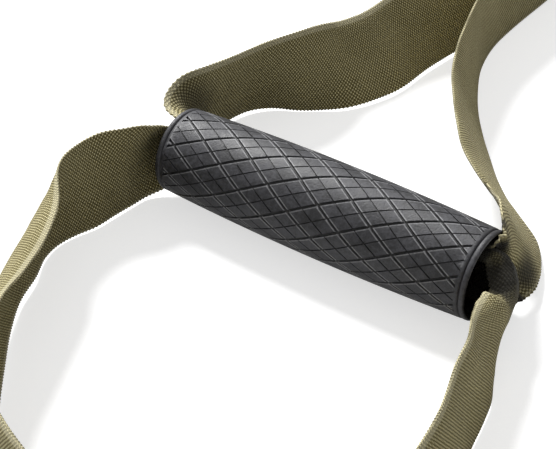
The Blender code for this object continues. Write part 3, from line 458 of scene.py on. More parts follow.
def onRow(row, across, up, width):
    # each half has its own bend and lag along the strap; the lower one's bend may start away from the middle
    place, side, (upper, lower, start, lagUpper, lagLower), along = row
    normal = along.cross(side).normalized()
    bend, start, lag, sign = (upper, 0, lagUpper, 1) if across > 0 else (lower, start, lagLower, -1)
    place = place - along * (abs(across) * lag)
    shrink = sqrt(1 - lag * lag)
    reach, flat = abs(across) * shrink, start * width / 2 * shrink
    if abs(bend) < 0.001 or reach <= flat:
        return place + side * (sign * reach) + normal * up, side, normal
    bow = (width / 2 * shrink - flat) / bend
    turn = (reach - flat) / bow
    leftward = side * cos(turn) + normal * (sign * sin(turn))
    outward = normal * cos(turn) - side * (sign * sin(turn))
    middle = place + side * (sign * (flat + bow * sin(turn))) + normal * (bow * (1 - cos(turn)))
    return middle + outward * up, leftward, outward


def finishObject(name, bm, finish, smoothAngle=40):
    mesh = bpy.data.meshes.new(name)
    bm.to_mesh(mesh)
    bm.free()
    mesh.shade_smooth()
    mesh.set_sharp_from_angle(angle=radians(smoothAngle))
    mesh.materials.append(finishes[finish])
    item = bpy.data.objects.new(name, mesh)
    bpy.context.scene.collection.objects.link(item)
    return item


def loft(rows, outline, width, edgeWave=0.0, wavePitch=1.0):
    # a closed outline of (across, up, wave) points drawn along the rows, its ends filled
    bm = bmesh.new()
    count, turns = len(rows) - 1, len(outline)
    bmesh.ops.create_grid(bm, x_segments=count, y_segments=turns, size=1)
    run, perimeter = [0.0], [0.0]
    for one, two in zip(rows, rows[1:]):
        run.append(run[-1] + (two[0] - one[0]).length)
    for one, two in zip(outline, outline[1:] + outline[:1]):
        perimeter.append(perimeter[-1] + hypot(two[0] - one[0], two[1] - one[1]))
    layer = bm.loops.layers.uv.new("weave")
    spots = {}
    for vertex in bm.verts:
        spots[vertex] = (round((vertex.co.x + 1) / 2 * count), round((vertex.co.y + 1) / 2 * turns))
    for face in bm.faces:
        for loop in face.loops:
            i, j = spots[loop.vert]
            loop[layer].uv = (run[i], perimeter[j])
    for vertex, (i, j) in spots.items():
        across, up, wave = outline[j % turns]
        across += wave * edgeWave * cos(2 * pi * run[i] / wavePitch)
        vertex.co = onRow(rows[i], across, up, width)[0]
    bmesh.ops.remove_doubles(bm, verts=bm.verts, dist=0.000002)
    bmesh.ops.holes_fill(bm, edges=[edge for edge in bm.edges if edge.is_boundary], sides=0)
    bmesh.ops.recalc_face_normals(bm, faces=bm.faces)
    return bm, run


def strapOutline(width, thickness, columns, edgeSteps=3):
    # the section of a woven strap, thinner at its round edges; only the edges wave
    half, full, thin = width / 2, thickness / 2, thickness * weave["edgeShare"]
    outline = []
    for side in (1, -1):
        for index in range(columns + 1):
            across = (half - thin) * (2 * index / columns - 1) * side
            outline.append((across, side * (full if 0 < index < columns else thin), 0))
        for index in range(1, edgeSteps + 1):
            turn = pi * index / (edgeSteps + 1)
            outline.append((side * (half - thin + thin * sin(turn)), side * thin * cos(turn), side))
    return outline


def strap(name, rows, width, thickness, finish, columns=7, scallop=0.00026):
    bm, run = loft(rows, strapOutline(width, thickness, columns), width, scallop, weave["scallop"])
    item = finishObject(name, bm, finish, 60)
    return {"piece": item, "rows": rows, "run": run, "width": width, "half": thickness / 2}


def spun(profile, steps):
    # a full turn of (along X, radius) points round the X axis
    bm = bmesh.new()
    ring = [bm.verts.new((along, 0, radius)) for along, radius in profile]
    edges = [bm.edges.new(pair) for pair in zip(ring, ring[1:] + ring[:1])]
    bmesh.ops.spin(bm, geom=ring + edges, cent=(0, 0, 0), axis=(1, 0, 0), dvec=(0, 0, 0), angle=2 * pi,
                   steps=steps, use_merge=True)
    bmesh.ops.remove_doubles(bm, verts=bm.verts, dist=0.000001)
    bmesh.ops.recalc_face_normals(bm, faces=bm.faces)
    return bm


# stitches

stitch = {"pitch": 0.0030, "length": 0.0024, "width": 0.00050, "height": 0.00034, "tackGap": 0.0016,
          "boxHalf": 0.0155, "tackHalf": 0.0165, "tabHalf": 0.0135, "lapInset": 0.004, "endInset": 0.003,
          "lapMargin": 0.010, "patchMargin": 0.009, "tackMargin": 0.005, "tailTack": 0.006}


def addStitches(bm, strapMade, path, side):
    # path points are (run along the strap, across it); side is 1 for the face that the outline's top makes
    rows, run = strapMade["rows"], strapMade["run"]
    for (s0, w0), (s1, w1) in zip(path, path[1:]):
        count = max(1, round(hypot(s1 - s0, w1 - w0) / stitch["pitch"]))
        for index in range(count):
            share = (index + 0.5) / count
            s, w = s0 + (s1 - s0) * share, w0 + (w1 - w0) * share
            place = min(max(bisect_right(run, s) - 1, 0), len(rows) - 1)
            spot, sideways, normal = onRow(rows[place], w, strapMade["half"] * side, strapMade["width"])
            ahead = (rows[place][3] * (s1 - s0) + sideways * (w1 - w0)).normalized()
            up = normal * side
            aside = up.cross(ahead)
            turn = Matrix((ahead, aside, up)).transposed().to_4x4()
            size = Matrix.Diagonal((stitch["length"] / 2, stitch["width"] / 2, stitch["height"], 1))
            bmesh.ops.create_uvsphere(bm, u_segments=6, v_segments=4, radius=1,
                                      matrix=Matrix.Translation(spot) @ turn @ size)


def boxCross(start, end, half):
    return [[(start, -half), (end, -half), (end, half), (start, half), (start, -half), (end, half)],
            [(start, half), (end, -half)]]


def barTack(place, half, rows=2):
    places = [place + index * stitch["tackGap"] for index in range(rows)]
    return [[(along, -half), (along, half)] for along in places]


def stitched(name, jobs, finish="thread"):
    bm = bmesh.new()
    for strapMade, paths, side in jobs:
        for path in paths:
            addStitches(bm, strapMade, path, side)
    item = finishObject(name, bm, finish, 80)
    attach(item, "straps")
    return item


# grip: a rubber sleeve whose bold and thin grooves cross in diamonds, a tube and two mouth bushes

def barrelRadius(x):
    return grip["bellyRadius"] - (grip["bellyRadius"] - grip["endRadius"]) * (x / (grip["length"] / 2)) ** 2


def grooveStations(low, high):
    # lattice places, each with the depth of the groove there; even lines are bold and odd ones thin
    made = []
    for line in range(low, high + 1):
        kind = "bold" if line % 2 == 0 else "thin"
        made += [(line + place, share * grip[kind + "Depth"]) for place, share in grip[kind]]
        made += [(line + place, 0) for place in grip["between"]]
    return made


def sleeveEnd():
    half = grip["length"] / 2
    lip, ring = half - grip["lipWidth"], half - grip["lipWidth"] - grip["ringWidth"]
    middle, deep, top = (lip + ring) / 2, grip["ringDepth"], grip["lipRadius"]
    start, ease, bend = grip["pattern"] / 2, grip["ease"], grip["round"]
    profile = [(start, barrelRadius(start)), (ring - grip["edgeRun"], barrelRadius(ring)),
               (ring, barrelRadius(ring) - grip["edgeDrop"]), (ring + ease, barrelRadius(ring) - deep * 0.8),
               (middle, barrelRadius(middle) - deep), (lip - ease, barrelRadius(lip) - deep * 0.8)]
    profile += [(lip, top - grip["lipDrop"]), (lip + ease, top), (half - bend, top)]
    for index in range(1, 5):
        turn = pi / 2 * index / 4
        profile.append((half - bend + bend * sin(turn), top - grip["roundDrop"] * (1 - cos(turn))))
    profile += [(half, grip["mouthRadius"] + ease), (half - ease, grip["mouthRadius"]),
                (half - grip["mouthDepth"], grip["mouthRadius"]), (half - grip["mouthDepth"], grip["bore"])]
    return profile


def gripSleeve():
    flat, steep, spacing = grip["flatPhase"], grip["steepPhase"], grip["spacing"]
    reach = grip["pattern"] * 500 * grip["slope"]   # degrees that a groove turns over half the pattern
    low = int((grip["seam"] - reach - flat) // spacing) - 1
    high = int((grip["seam"] + 360 + reach - steep) // spacing) + 2
    stations = grooveStations(low, high)
    bm = bmesh.new()
    count = len(stations) - 1
    bmesh.ops.create_grid(bm, x_segments=count, y_segments=count, size=1)
    for vertex in bm.verts:
        p, pDepth = stations[round((vertex.co.x + 1) / 2 * count)]
        q, qDepth = stations[round((vertex.co.y + 1) / 2 * count)]
        around = (spacing * (p + q) + flat + steep) / 2
        x = (spacing * (p - q) + flat - steep) / (2 * grip["slope"]) / 1000
        vertex.co = (x, radians(around) * grip["bellyRadius"], -max(pDepth, qDepth))
    seam = radians(grip["seam"]) * grip["bellyRadius"]
    cuts = [((grip["pattern"] / 2, 0, 0), (1, 0, 0)), ((-grip["pattern"] / 2, 0, 0), (-1, 0, 0)),
            ((0, seam, 0), (0, -1, 0)), ((0, seam + 2 * pi * grip["bellyRadius"], 0), (0, 1, 0))]
    for place, normal in cuts:
        bmesh.ops.bisect_plane(bm, geom=bm.verts[:] + bm.edges[:] + bm.faces[:], dist=0.0000001,
                               plane_co=place, plane_no=normal, clear_outer=True)
    for vertex in bm.verts:
        x, turn = vertex.co.x, vertex.co.y / grip["bellyRadius"]
        radius = barrelRadius(x) + vertex.co.z
        vertex.co = (x, radius * cos(turn), radius * sin(turn))
    bmesh.ops.remove_doubles(bm, verts=bm.verts, dist=0.00001)
    lastLoops = []
    for end in (-1, 1):
        rim = [edge for edge in bm.edges if edge.is_boundary and edge.verts[0].co.x * end > 0]
        for place, radius in sleeveEnd():
            made = bmesh.ops.extrude_edge_only(bm, edges=rim)["geom"]
            rim = [item for item in made if isinstance(item, bmesh.types.BMEdge)]
            for vertex in {vertex for edge in rim for vertex in edge.verts}:
                share = radius / hypot(vertex.co.y, vertex.co.z)
                vertex.co = (end * place, vertex.co.y * share, vertex.co.z * share)
            rim = [edge for edge in rim if edge.is_boundary]
            rim = [edge for edge in rim if abs(edge.verts[0].co.x - edge.verts[1].co.x) < 1e-6]
        lastLoops += rim
    bmesh.ops.bridge_loops(bm, edges=lastLoops)
    return bm


def mouthBush(end):
    back, face, flange, rim = bush["back"], bush["face"], bush["flange"], bush["rim"]
    profile = [(back, bush["outside"]), (bush["shoulder"], bush["outside"]), (bush["shoulder"], flange),
               (face - rim, flange), (face, flange - rim)]
    for index in range(bush["steps"] + 1):
        share = index / bush["steps"]
        radius = bush["mouth"] - (bush["mouth"] - bush["throat"]) * sin(share * pi / 2)
        profile.append((face - share * (face - back), radius))
    return [(end * along, radius) for along, radius in profile]


def makeGrip(side, hand):
    body = f"grip_{side}"
    centre = (-hand * handlePlace["spread"], handlePlace["gripY"], handlePlace["axisHeight"])
    shapes = {"gripSleeve": (gripSleeve(), "rubber", "grip_rubber", f"grip_sleeve_{side}")}
    for word, end in (("Left", -1), ("Right", 1)):
        node = f"mouth_bush_{word.lower()}_{side}"
        shapes["mouth" + word] = (spun(mouthBush(end), 72), "bush", "bush_plastic", node)
    for word, (bm, finish, slotName, node) in shapes.items():
        if hand < 0 and word == "gripSleeve":
            bmesh.ops.scale(bm, vec=(-1, 1, 1), verts=bm.verts)
        bmesh.ops.translate(bm, vec=centre, verts=bm.verts)
        bmesh.ops.recalc_face_normals(bm, faces=bm.faces)
        item = finishObject(word + side.upper(), bm, finish, 50)
        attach(item, body)
        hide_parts(node)


# straps of a handle: shares of the half grip, of the triangle or cradle, and of the axis height, then the
# lean, the upper and lower half's bend as shares of the one inside the tube, where the lower starts, and
# both lags

handleStrap = {"width": 0.038, "thickness": 0.002, "half": 0.070, "axis": 0.0198, "fold": 0.0123,
               "height": 0.2497, "lap": 0.034, "apex": 0.0230, "pitch": 0.0024, "level": 0.0196,
               "spacing": 0.0005, "stations": [
    (-0.393, 0.790, 0.98, -7, 0), (-0.471, 0.692, 0.96, -16, 0), (-0.600, 0.567, 0.90, -28, 0),
    (-0.657, 0.495, 0.85, -34, 0), (-0.686, 0.419, 0.81, -38, 0), (-0.729, 0.379, 0.81, -38, 0),
    (-0.786, 0.339, 0.83, -34, 0), (-0.857, 0.299, 0.91, -20, 0), (-0.943, 0.259, 0.96, -6, 0),
    (-1.036, 0.227, 0.98, 6, 0), (-1.114, 0.191, 0.98, 12, 0), (-1.157, 0.143, 0.98, 12, 0),
    (-1.166, 0.099, 1.00, 9, 0.05), (-1.156, 0.062, 1.01, 3, 0.20), (-1.130, 0.033, 1.02, -5, 0.48),
    (-1.080, 0.012, 1.01, -8, 0.78), (-1.016, 0.004, 1.02, -2, 0.95), (-0.900, 0, 1, 0, 1),
    (-0.820, 0, 1, 0, 1), (0.820, 0, 1, 0, 1), (0.900, 0, 1, 0, 1),
    (0.965, 0.0005, 1.00, 0, 0.97, 1, 0), (1.003, 0.006, 1.00, 4, 0.60, 0.95, 0.1, 0.30, 0.10),
    (1.014, 0.018, 1.00, 9, 0.20, 0.80, 0.3, 0.47, 0.25), (1.004, 0.036, 1.00, 19, 0, 0.62, 0.5, 0.25, 0.20),
    (0.972, 0.058, 0.98, 26, 0, 0.42, 0.7, 0.05, 0.10), (0.925, 0.080, 0.93, 32, 0, 0.15, 0.8),
    (0.876, 0.101, 0.87, 35, 0, 0, 0.8),
    (0.814, 0.123, 0.82, 37, 0), (0.686, 0.151, 0.82, 37, 0), (0.529, 0.187, 0.83, 35, 0),
    (0.386, 0.231, 0.87, 31, 0), (0.243, 0.283, 0.89, 28, 0), (0.100, 0.339, 0.92, 24, 0),
    (-0.029, 0.403, 0.96, 17, 0), (-0.143, 0.475, 0.98, 10, 0), (-0.243, 0.551, 0.98, 5, 0),
    (-0.300, 0.632, 0.98, 2, 0), (-0.307, 0.712, 0.98, 0, 0)]}
footCradle = {"fold": 0.0097, "depth": 0.1877, "stations": [
    (0.800, 0, 1, 0, 1), (0.900, 0, 1, 0, 1), (0.957, 0, 1, 0, 1), (1.014, 0.001, 1, 0, 1),
    (1.071, 0.006, 1, 0, 0.98, 0.98, 0, -0.1, 0), (1.125, 0.026, 0.93, 8, 1.02, 0.86, 0, -0.35, 0),
    (1.175, 0.058, 0.82, 15, 1.03, 0.62, 0, -0.55, 0), (1.207, 0.098, 0.82, 10, 0.85, 0.46, 0, -0.60, 0),
    (1.232, 0.140, 0.92, 2, 0.55, 0.32, 0, -0.55, 0), (1.255, 0.190, 0.975, -8, 0.25, 0.17, 0, -0.40, 0),
    (1.290, 0.254, 0.985, -13, 0.05, 0.03, 0, -0.20, 0), (1.336, 0.318, 0.98, -11.5, 0),
    (1.376, 0.387, 0.98, -11, 0),
    (1.479, 0.521, 0.98, -11, 0), (1.500, 0.680, 0.98, -10, 0), (1.314, 0.845, 0.98, -8, 0),
    (0.900, 0.957, 0.98, -4, 0),
    (0.429, 1.000, 0.98, -2, 0), (-0.043, 0.963, 0.97, -2, 0.07), (-0.443, 0.883, 0.96, 0, 0.16),
    (-0.671, 0.803, 0.96, 0, 0.30), (-0.857, 0.718, 0.98, -6, 0.45), (-0.979, 0.638, 1.00, -16, 0.51),
    (-1.086, 0.552, 1.01, -22, 0.51), (-1.164, 0.478, 1.00, -19, 0.48), (-1.236, 0.414, 0.98, -15, 0.36),
    (-1.257, 0.361, 0.97, -6, 0.18), (-1.243, 0.313, 0.97, 3, 0.05), (-1.214, 0.265, 0.97, 9, 0),
    (-1.193, 0.217, 0.98, 8, 0), (-1.164, 0.169, 0.98, 0, 0.10), (-1.164, 0.121, 0.97, -6, 0.30),
    (-1.157, 0.073, 0.97, -5, 0.60), (-1.121, 0.030, 0.99, -2, 0.93), (-1.057, 0.005, 1.03, 0, 1.01),
    (-0.957, 0, 1.01, 0, 1), (-0.900, 0, 1, 0, 1), (-0.800, 0, 1, 0, 1)]}


def handed(stations, hand):
    centre = -hand * handlePlace["spread"]
    return [(centre + hand * x, handlePlace["gripY"] + y, z, hand * lean, hand * upper, hand * lower, *rest)
            for x, y, z, lean, upper, lower, *rest in stations]


def sized(stations, fold, depth, turn):
    # a table's shares as metres and radians; a station that gives one bend has it in both halves
    made = []
    for x, y, z, lean, upper, *more in stations:
        lower, *rest = more + [upper, 0, 0, 0][len(more):]
        made.append((x * handleStrap["half"], fold + y * depth, z * handleStrap["axis"], lean,
                     upper * turn, lower * turn, *rest))
    return made


def declareStrap(made, node):
    item = made["piece"]
    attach(item, "straps")
    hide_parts(node)
    print(node, "is", round(made["run"][-1], 4), "m long,", len(item.data.polygons), "faces")


def makeHandleStraps(side, hand):
    s = handleStrap
    stations = sized(s["stations"], s["fold"], s["height"], s["width"] / 2 / s["fold"])
    apex = s["fold"] + s["height"]
    laps = (0, s["lap"] / 2, s["lap"])
    left = [(-s["apex"] - s["pitch"], apex - lap, s["level"], 0, *noBends) for lap in laps]
    right = [(-s["apex"] + s["pitch"], apex - lap, s["level"], 0, *noBends) for lap in laps[::-1]]
    route = evenly(smoothRoute(handed(left + stations + right, hand), 0.002), s["spacing"])
    outer = strap(f"handleStrap{side.upper()}", standingRows(route), s["width"], s["thickness"], "webbing")
    end = outer["run"][-1]
    inset, half = stitch["lapInset"], stitch["boxHalf"]
    jobs = [(outer, boxCross(inset, s["lap"] - inset, half), hand),
            (outer, boxCross(end - s["lap"] + inset, end - inset, half), hand)]
    seams = stitched(f"apexStitches{side.upper()}", jobs)
    declareStrap(outer, f"handle_strap_{side}")

    c = footCradle
    turn = s["width"] / 2 / c["fold"]
    stations = sized(c["stations"], c["fold"], -c["depth"], turn)
    ends = [(place, c["fold"], s["axis"], 0, turn, turn, 0, 0, 0) for place in (0.0003, -0.0003)]
    route = evenly(smoothRoute(handed(ends[:1] + stations + ends[1:], hand), 0.002), s["spacing"])
    inner = strap(f"footCradle{side.upper()}", standingRows(route), s["width"], s["thickness"], "webbing")
    declareStrap(inner, f"foot_cradle_{side}")


# legs: places are counted down from the sewn patch, u along the leg and z up

leg = {"patch": 0.044, "bend": 0.030, "apexX": 0.173, "rise": 0.462, "runStart": 0.092, "runLength": 0.140,
       "loosePitch": 0.0044, "pitch": 0.0024, "tailRuns": 3, "mainRuns": 5, "buckle": 0.306,
       "barPlace": 0.284, "lap": 0.036, "spacing": 0.00075, "half": 0.001, "barHeight": 0.0084,
       "wrap": 0.0038, "clearShare": 0.92}
legAngle = atan2(leg["apexX"], leg["rise"])
legLength = hypot(leg["apexX"], leg["rise"])
runTie = {"width": 0.020, "thickness": 0.0015, "margin": 0.002, "clear": 0.0003, "corner": 0.0016,
          "lift": 0.0002, "start": -0.008, "rise": (-0.0145, 0.0001), "top": (-0.010, 0.0, 0.014)}
eye = {"y": 0.048, "height": 0.0073, "radius": 0.0063}
runMiddle = leg["runStart"] + leg["runLength"] / 2
runEnd = leg["runStart"] + leg["runLength"]
waistReach = runTie["width"] / 2 + runTie["margin"]
waistBase = runTie["thickness"] + runTie["clear"] + leg["half"]


def legPlace(u, hand):
    turn = legAngle * hand
    corner = Vector((0, -leg["patch"] / 2, 0))
    down = Vector((-sin(turn), -cos(turn), 0))
    bend = leg["bend"]
    if u >= bend:
        return corner + down * u, Vector((-cos(turn), sin(turn), 0))
    if u <= -bend:
        return corner - Vector((0, u, 0)), Vector((-1, 0, 0))
    share = (u + bend) / (2 * bend)
    top, bottom = corner + Vector((0, bend, 0)), corner + down * bend
    place = top * (1 - share) ** 2 + corner * (2 * share * (1 - share)) + bottom * share ** 2
    slope = ((corner - top) * (1 - share) + (bottom - corner) * share).normalized()
    return place, Vector((slope.y, -slope.x, 0))


def legStation(u, z, hand, turned=1):
    place, across = legPlace(u, hand)
    return [place.x, place.y, z, *(across * turned)]


def runHeight(layer, u):
    away = (abs(u - runMiddle) - waistReach) / (leg["runLength"] / 2 - waistReach)
    loose = easeIn(away)
    base = waistBase + (leg["half"] - waistBase) * loose
    return base + layer * (leg["pitch"] + (leg["loosePitch"] - leg["pitch"]) * loose)


def foldedRuns(first, count):
    points = []
    for run in range(count):
        layer, up = first + run, run % 2 == 0
        for index in range(41):
            u = runMiddle + leg["runLength"] * (0.5 - index / 40) * (1 if up else -1)
            points.append((u, runHeight(layer, u)))
        if run == count - 1:
            break
        edge, outward = (leg["runStart"], -1) if up else (runEnd, 1)
        radius = leg["loosePitch"] / 2
        for index in range(1, 12):
            turn = pi * index / 12
            height = runHeight(layer, edge) + radius * (1 - cos(turn))
            points.append((edge + outward * radius * sin(turn), height))
    return points


def profileCurve(points, step=0.001):
    return [(row[0], row[2]) for row in smoothRoute([(u, 0, z) for u, z in points], step)]


def mainStrapHalf(hand, patchHeight):
    half, bar, wrap = leg["half"], leg["barPlace"], leg["wrap"]
    top, level = leg["barHeight"] + wrap, runHeight(leg["tailRuns"], runEnd)
    lap = bar - leg["lap"]
    points = [(lap, level - 2 * half - leg["pitch"]),
              ((lap + bar) / 2, (level + top) / 2 - leg["pitch"] - half)]
    for index in range(9):
        turn = -0.62 * pi + 1.16 * pi * index / 8
        points.append((bar + wrap * cos(turn), leg["barHeight"] + wrap * sin(turn)))
    points += [((lap + bar) / 2, (level + top) / 2 + half), (lap, level)]
    runs = foldedRuns(leg["tailRuns"], leg["mainRuns"])
    route = profileCurve(points + runs[:1])[:-1] + runs
    climb = leg["runStart"]
    stackTop = runHeight(leg["tailRuns"] + leg["mainRuns"] - 1, leg["runStart"])
    clear = handleStrap["width"] / 2 / sin(legAngle) * leg["clearShare"]
    ramp = []
    for index in range(1, 8):
        u = climb * (1 - index / 7)
        base = half + (stackTop - half) * easeIn(u / climb)
        raised = (patchHeight - half) * (1.2 if u > leg["bend"] / 2 else 1)
        ramp.append((u, base + raised * (1 - easeIn((u - clear) / (climb - clear)))))
    ramp += [(-leg["patch"] * index / 3, patchHeight) for index in range(1, 4)]
    return [legStation(u, z, hand) for u, z in route[:-1] + profileCurve(route[-1:] + ramp)]


def makeMainStrap():
    # one length: buckle, folded runs, patch, round the carabiner and the same on the other side
    half, end = leg["half"], leg["patch"] / 2
    upperLevel = half + leg["pitch"]
    upper, lower = mainStrapHalf(1, upperLevel), mainStrapHalf(-1, half)
    loop = [(end, upperLevel), (end + 0.006, upperLevel + 0.0008), (end + 0.014, upperLevel + 0.0040)]
    for index in range(12):
        turn = 0.69 * pi - 1.19 * pi * index / 11
        loop.append((eye["y"] + eye["radius"] * cos(turn), eye["height"] + eye["radius"] * sin(turn)))
    loop += [(end + 0.012, half), (end, half)]
    middle = [[0, y, z, -1, 0, 0] for y, z in profileCurve(loop, 0.0006)]
    back = [row[:3] + [-value for value in row[3:]] for row in reversed(lower)]
    route = evenly(upper[:-1] + middle + back[1:], leg["spacing"])
    made = strap("mainStrap", faceRows(route), handleStrap["width"], handleStrap["thickness"], "webbing", 5)
    patchStart = sum(gap(one, two) for one, two in zip(upper, upper[1:])) - leg["patch"]
    total = made["run"][-1]
    inset, margin, box = stitch["endInset"], stitch["lapMargin"], stitch["boxHalf"]
    patchEnd = patchStart + leg["patch"]
    patchBox = boxCross(patchStart + stitch["lapInset"], patchEnd - stitch["patchMargin"], box)
    jobs = [(made, patchBox + barTack(patchEnd - stitch["tackMargin"], stitch["tackHalf"], 3), 1),
            (made, boxCross(inset, leg["lap"] - margin, box), 1),
            (made, boxCross(total - leg["lap"] + margin, total - inset, box), 1)]
    seams = stitched("mainStitches", jobs)
    declareStrap(made, "main_strap")


adjusting = {"lead": 0.004, "twist": 0.120, "settle": 0.006, "level": 0.0033, "edge": 0.0196, "lap": 0.034,
             "layer": 0.0004, "places": (0.22, 0.35, 0.48, 0.62, 0.76, 0.90, 1.0),
             "leans": (0.06, 0.18, 0.38, 0.62, 0.85, 0.97, 1.0)}
adjustTab = {"length": 0.030, "overlap": 0.020, "width": 0.034, "thickness": 0.0012, "droop": 0.003,
             "clear": 0.0003}


def makeAdjustingStrap(side, hand):
    a = adjusting
    apexX, apexY = -leg["apexX"], -leg["patch"] / 2 - leg["rise"]
    first = apexY - a["lap"] + a["layer"]
    stations = [(apexX, first, a["edge"], 0), (apexX, first + a["lap"] / 2, a["edge"], 0),
                (apexX, apexY - a["lead"], a["edge"], 0), (apexX, apexY + a["lead"], a["edge"], 0)]
    for share, lean in zip(a["places"], a["leans"]):
        place, _ = legPlace(legLength - share * a["twist"], 1)
        tip = radians(90 * lean)
        height = handleStrap["width"] / 2 * cos(tip) + a["level"] * sin(tip)
        stations.append((place.x, place.y, height, 90 * lean))
    turned = [(hand * x, y, z, hand * lean, 0) for x, y, z, lean in stations]
    standing = [[*place, *across] for place, across, _, _ in standingRows(smoothRoute(turned, 0.002))]
    u = legLength - a["twist"]
    route = [(u - a["settle"], a["level"]), (leg["buckle"], a["level"]), (leg["barPlace"], a["level"]),
             (leg["barPlace"] - leg["lap"] * 0.4, a["level"] * 0.8),
             (leg["barPlace"] - leg["lap"], leg["half"]), (runEnd, leg["half"])]
    flat = [(u, a["level"])] + route
    runs = profileCurve(flat)[:-1] + foldedRuns(0, leg["tailRuns"])
    lying = [legStation(u, z, hand, hand) for u, z in runs]
    rows = faceRows(evenly(standing[:-1] + lying, leg["spacing"]))
    width, thickness = handleStrap["width"], handleStrap["thickness"]
    made = strap(f"adjustingStrap{side.upper()}", rows, width, thickness, "webbing", 5)
    tack = barTack(stitch["tailTack"], stitch["boxHalf"])
    seams = stitched(f"tailStitches{side.upper()}", [(made, tack, 1)])
    declareStrap(made, f"adjusting_strap_{side}")


def makeAdjustTab(side, hand):
    t = adjustTab
    spacing = leg["half"] + t["clear"] + t["thickness"] / 2
    start, end = leg["runStart"] + t["overlap"], leg["runStart"] - t["length"]
    lower, upper = [], []
    for index in range(31):
        u = start + (end - start) * index / 30
        drop = t["droop"] * max(0, (leg["runStart"] - u) / t["length"]) ** 2
        level = runHeight(leg["tailRuns"] - 1, u) - drop
        lower.append((u, level - spacing))
        upper.append((u, level + spacing))
    level = (lower[-1][1] + upper[-1][1]) / 2
    turns = [pi * step / 12 for step in range(1, 12)]
    fold = [(end - spacing * sin(turn), level - spacing * cos(turn)) for turn in turns]
    stations = [legStation(u, z, hand, hand) for u, z in lower + fold + upper[::-1]]
    rows = faceRows(evenly(stations, 0.0008))
    made = strap(f"adjustTab{side.upper()}", rows, t["width"], t["thickness"], "tie", 5, 0.00008)
    end = made["run"][-1]
    inset, half = stitch["endInset"], stitch["tabHalf"]
    jobs = [(made, boxCross(end - t["overlap"] + inset, end - inset, half), 1),
            (made, boxCross(inset, t["overlap"] - inset, half), 1)]
    seams = stitched(f"tabStitches{side.upper()}", jobs, "blackThread")
    item = made["piece"]
    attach(item, "straps")
    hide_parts(f"adjust_tab_{side}")


def makeRunTie(side, hand):
    # a hook-and-loop band round the folded runs; its end laps over its start on top
    t = runTie
    middle, across = legPlace(runMiddle, hand)
    down = (legPlace(runMiddle + 0.01, hand)[0] - middle).normalized()
    half = handleStrap["width"] / 2 + t["clear"] + t["thickness"] / 2
    low = t["thickness"] / 2
    high = runHeight(leg["tailRuns"] + leg["mainRuns"] - 1, runMiddle) + leg["half"] + t["clear"] + low
    corner = t["corner"]
    loop = [(t["start"], high)]
    for index, (x, z) in enumerate(((half, high), (half, low), (-half, low), (-half, high))):
        for step in range(7):
            turn = pi / 2 * (1 - index - step / 6)
            inward = (-1 if x > 0 else 1, -1 if z == high else 1)
            loop.append((x + corner * (inward[0] + cos(turn)), z + corner * (inward[1] + sin(turn))))
    lift = t["thickness"] + t["lift"]
    loop += [(t["rise"][0], high + t["rise"][1])] + [(x, high + lift) for x in t["top"]]
    stations = [[*(middle + across * x + Vector((0, 0, z))), *down] for x, z in loop]
    rows = faceRows(evenly(stations, 0.0006))
    made = strap(f"runTie{side.upper()}", rows, t["width"], t["thickness"] * 0.94, "tie", 4, 0.00006)
    item = made["piece"]
    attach(item, "straps")
    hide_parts(f"run_tie_{side}")


for side, hand in hands.items():
    makeGrip(side, hand)
print("grips made")
for side, hand in hands.items():
    makeHandleStraps(side, hand)
    makeAdjustingStrap(side, hand)
    makeAdjustTab(side, hand)
    makeRunTie(side, hand)
makeMainStrap()
print("straps made")


# buckles: the CAD shapes with their edges broken

buckle = {"frameEdge": 0.00035, "leverEdge": 0.00030, "pinEdge": 0.00035, "sharp": 28}


def bevelEdges(bm, edge, sharp):
    # rounds each edge where two faces turn by more than the sharp angle
    rims = [e for e in bm.edges if len(e.link_faces) == 2 and e.calc_face_angle() > radians(sharp)]
    bmesh.ops.bevel(bm, geom=rims, offset=edge, offset_type="OFFSET", affect="EDGES", segments=2, profile=0.5,
                    material=-1, clamp_overlap=True)


def softened(node, name, finish, edge):
    # a CAD shape again with rounded edges, which stands for its node
    bm = bmesh.new()
    bm.from_mesh(nodes[node].data)
    bmesh.ops.remove_doubles(bm, verts=bm.verts, dist=0.000004)
    bmesh.ops.dissolve_limit(bm, angle_limit=radians(1.5), verts=bm.verts, edges=bm.edges)
    bevelEdges(bm, edge, buckle["sharp"])
    item = finishObject(name, bm, finish, 32)
    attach(item, bodyOfNode[node])
    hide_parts(node)


def dress(node, finish):
    for slotOfNode in nodes[node].material_slots:
        slotOfNode.material = finishes[finish]


for side in hands:
    tag = side.upper()
    softened(f"buckle_frame_{side}", "buckleFrame" + tag, "steel", buckle["frameEdge"])
    softened(f"cam_lever_{side}", "camLever" + tag, "coated", buckle["leverEdge"])
    softened(f"cam_pin_{side}", "camPin" + tag, "polished", buckle["pinEdge"])
    softened(f"strap_bar_{side}", "strapBar" + tag, "polished", buckle["pinEdge"])
    dress(f"cam_spring_{side}", "polished")
    dress(f"core_tube_{side}", "tube")
print("buckles made")


# carabiner: a bent rod with a nose slot and a hinge tongue, a gate with its latch, and a pin

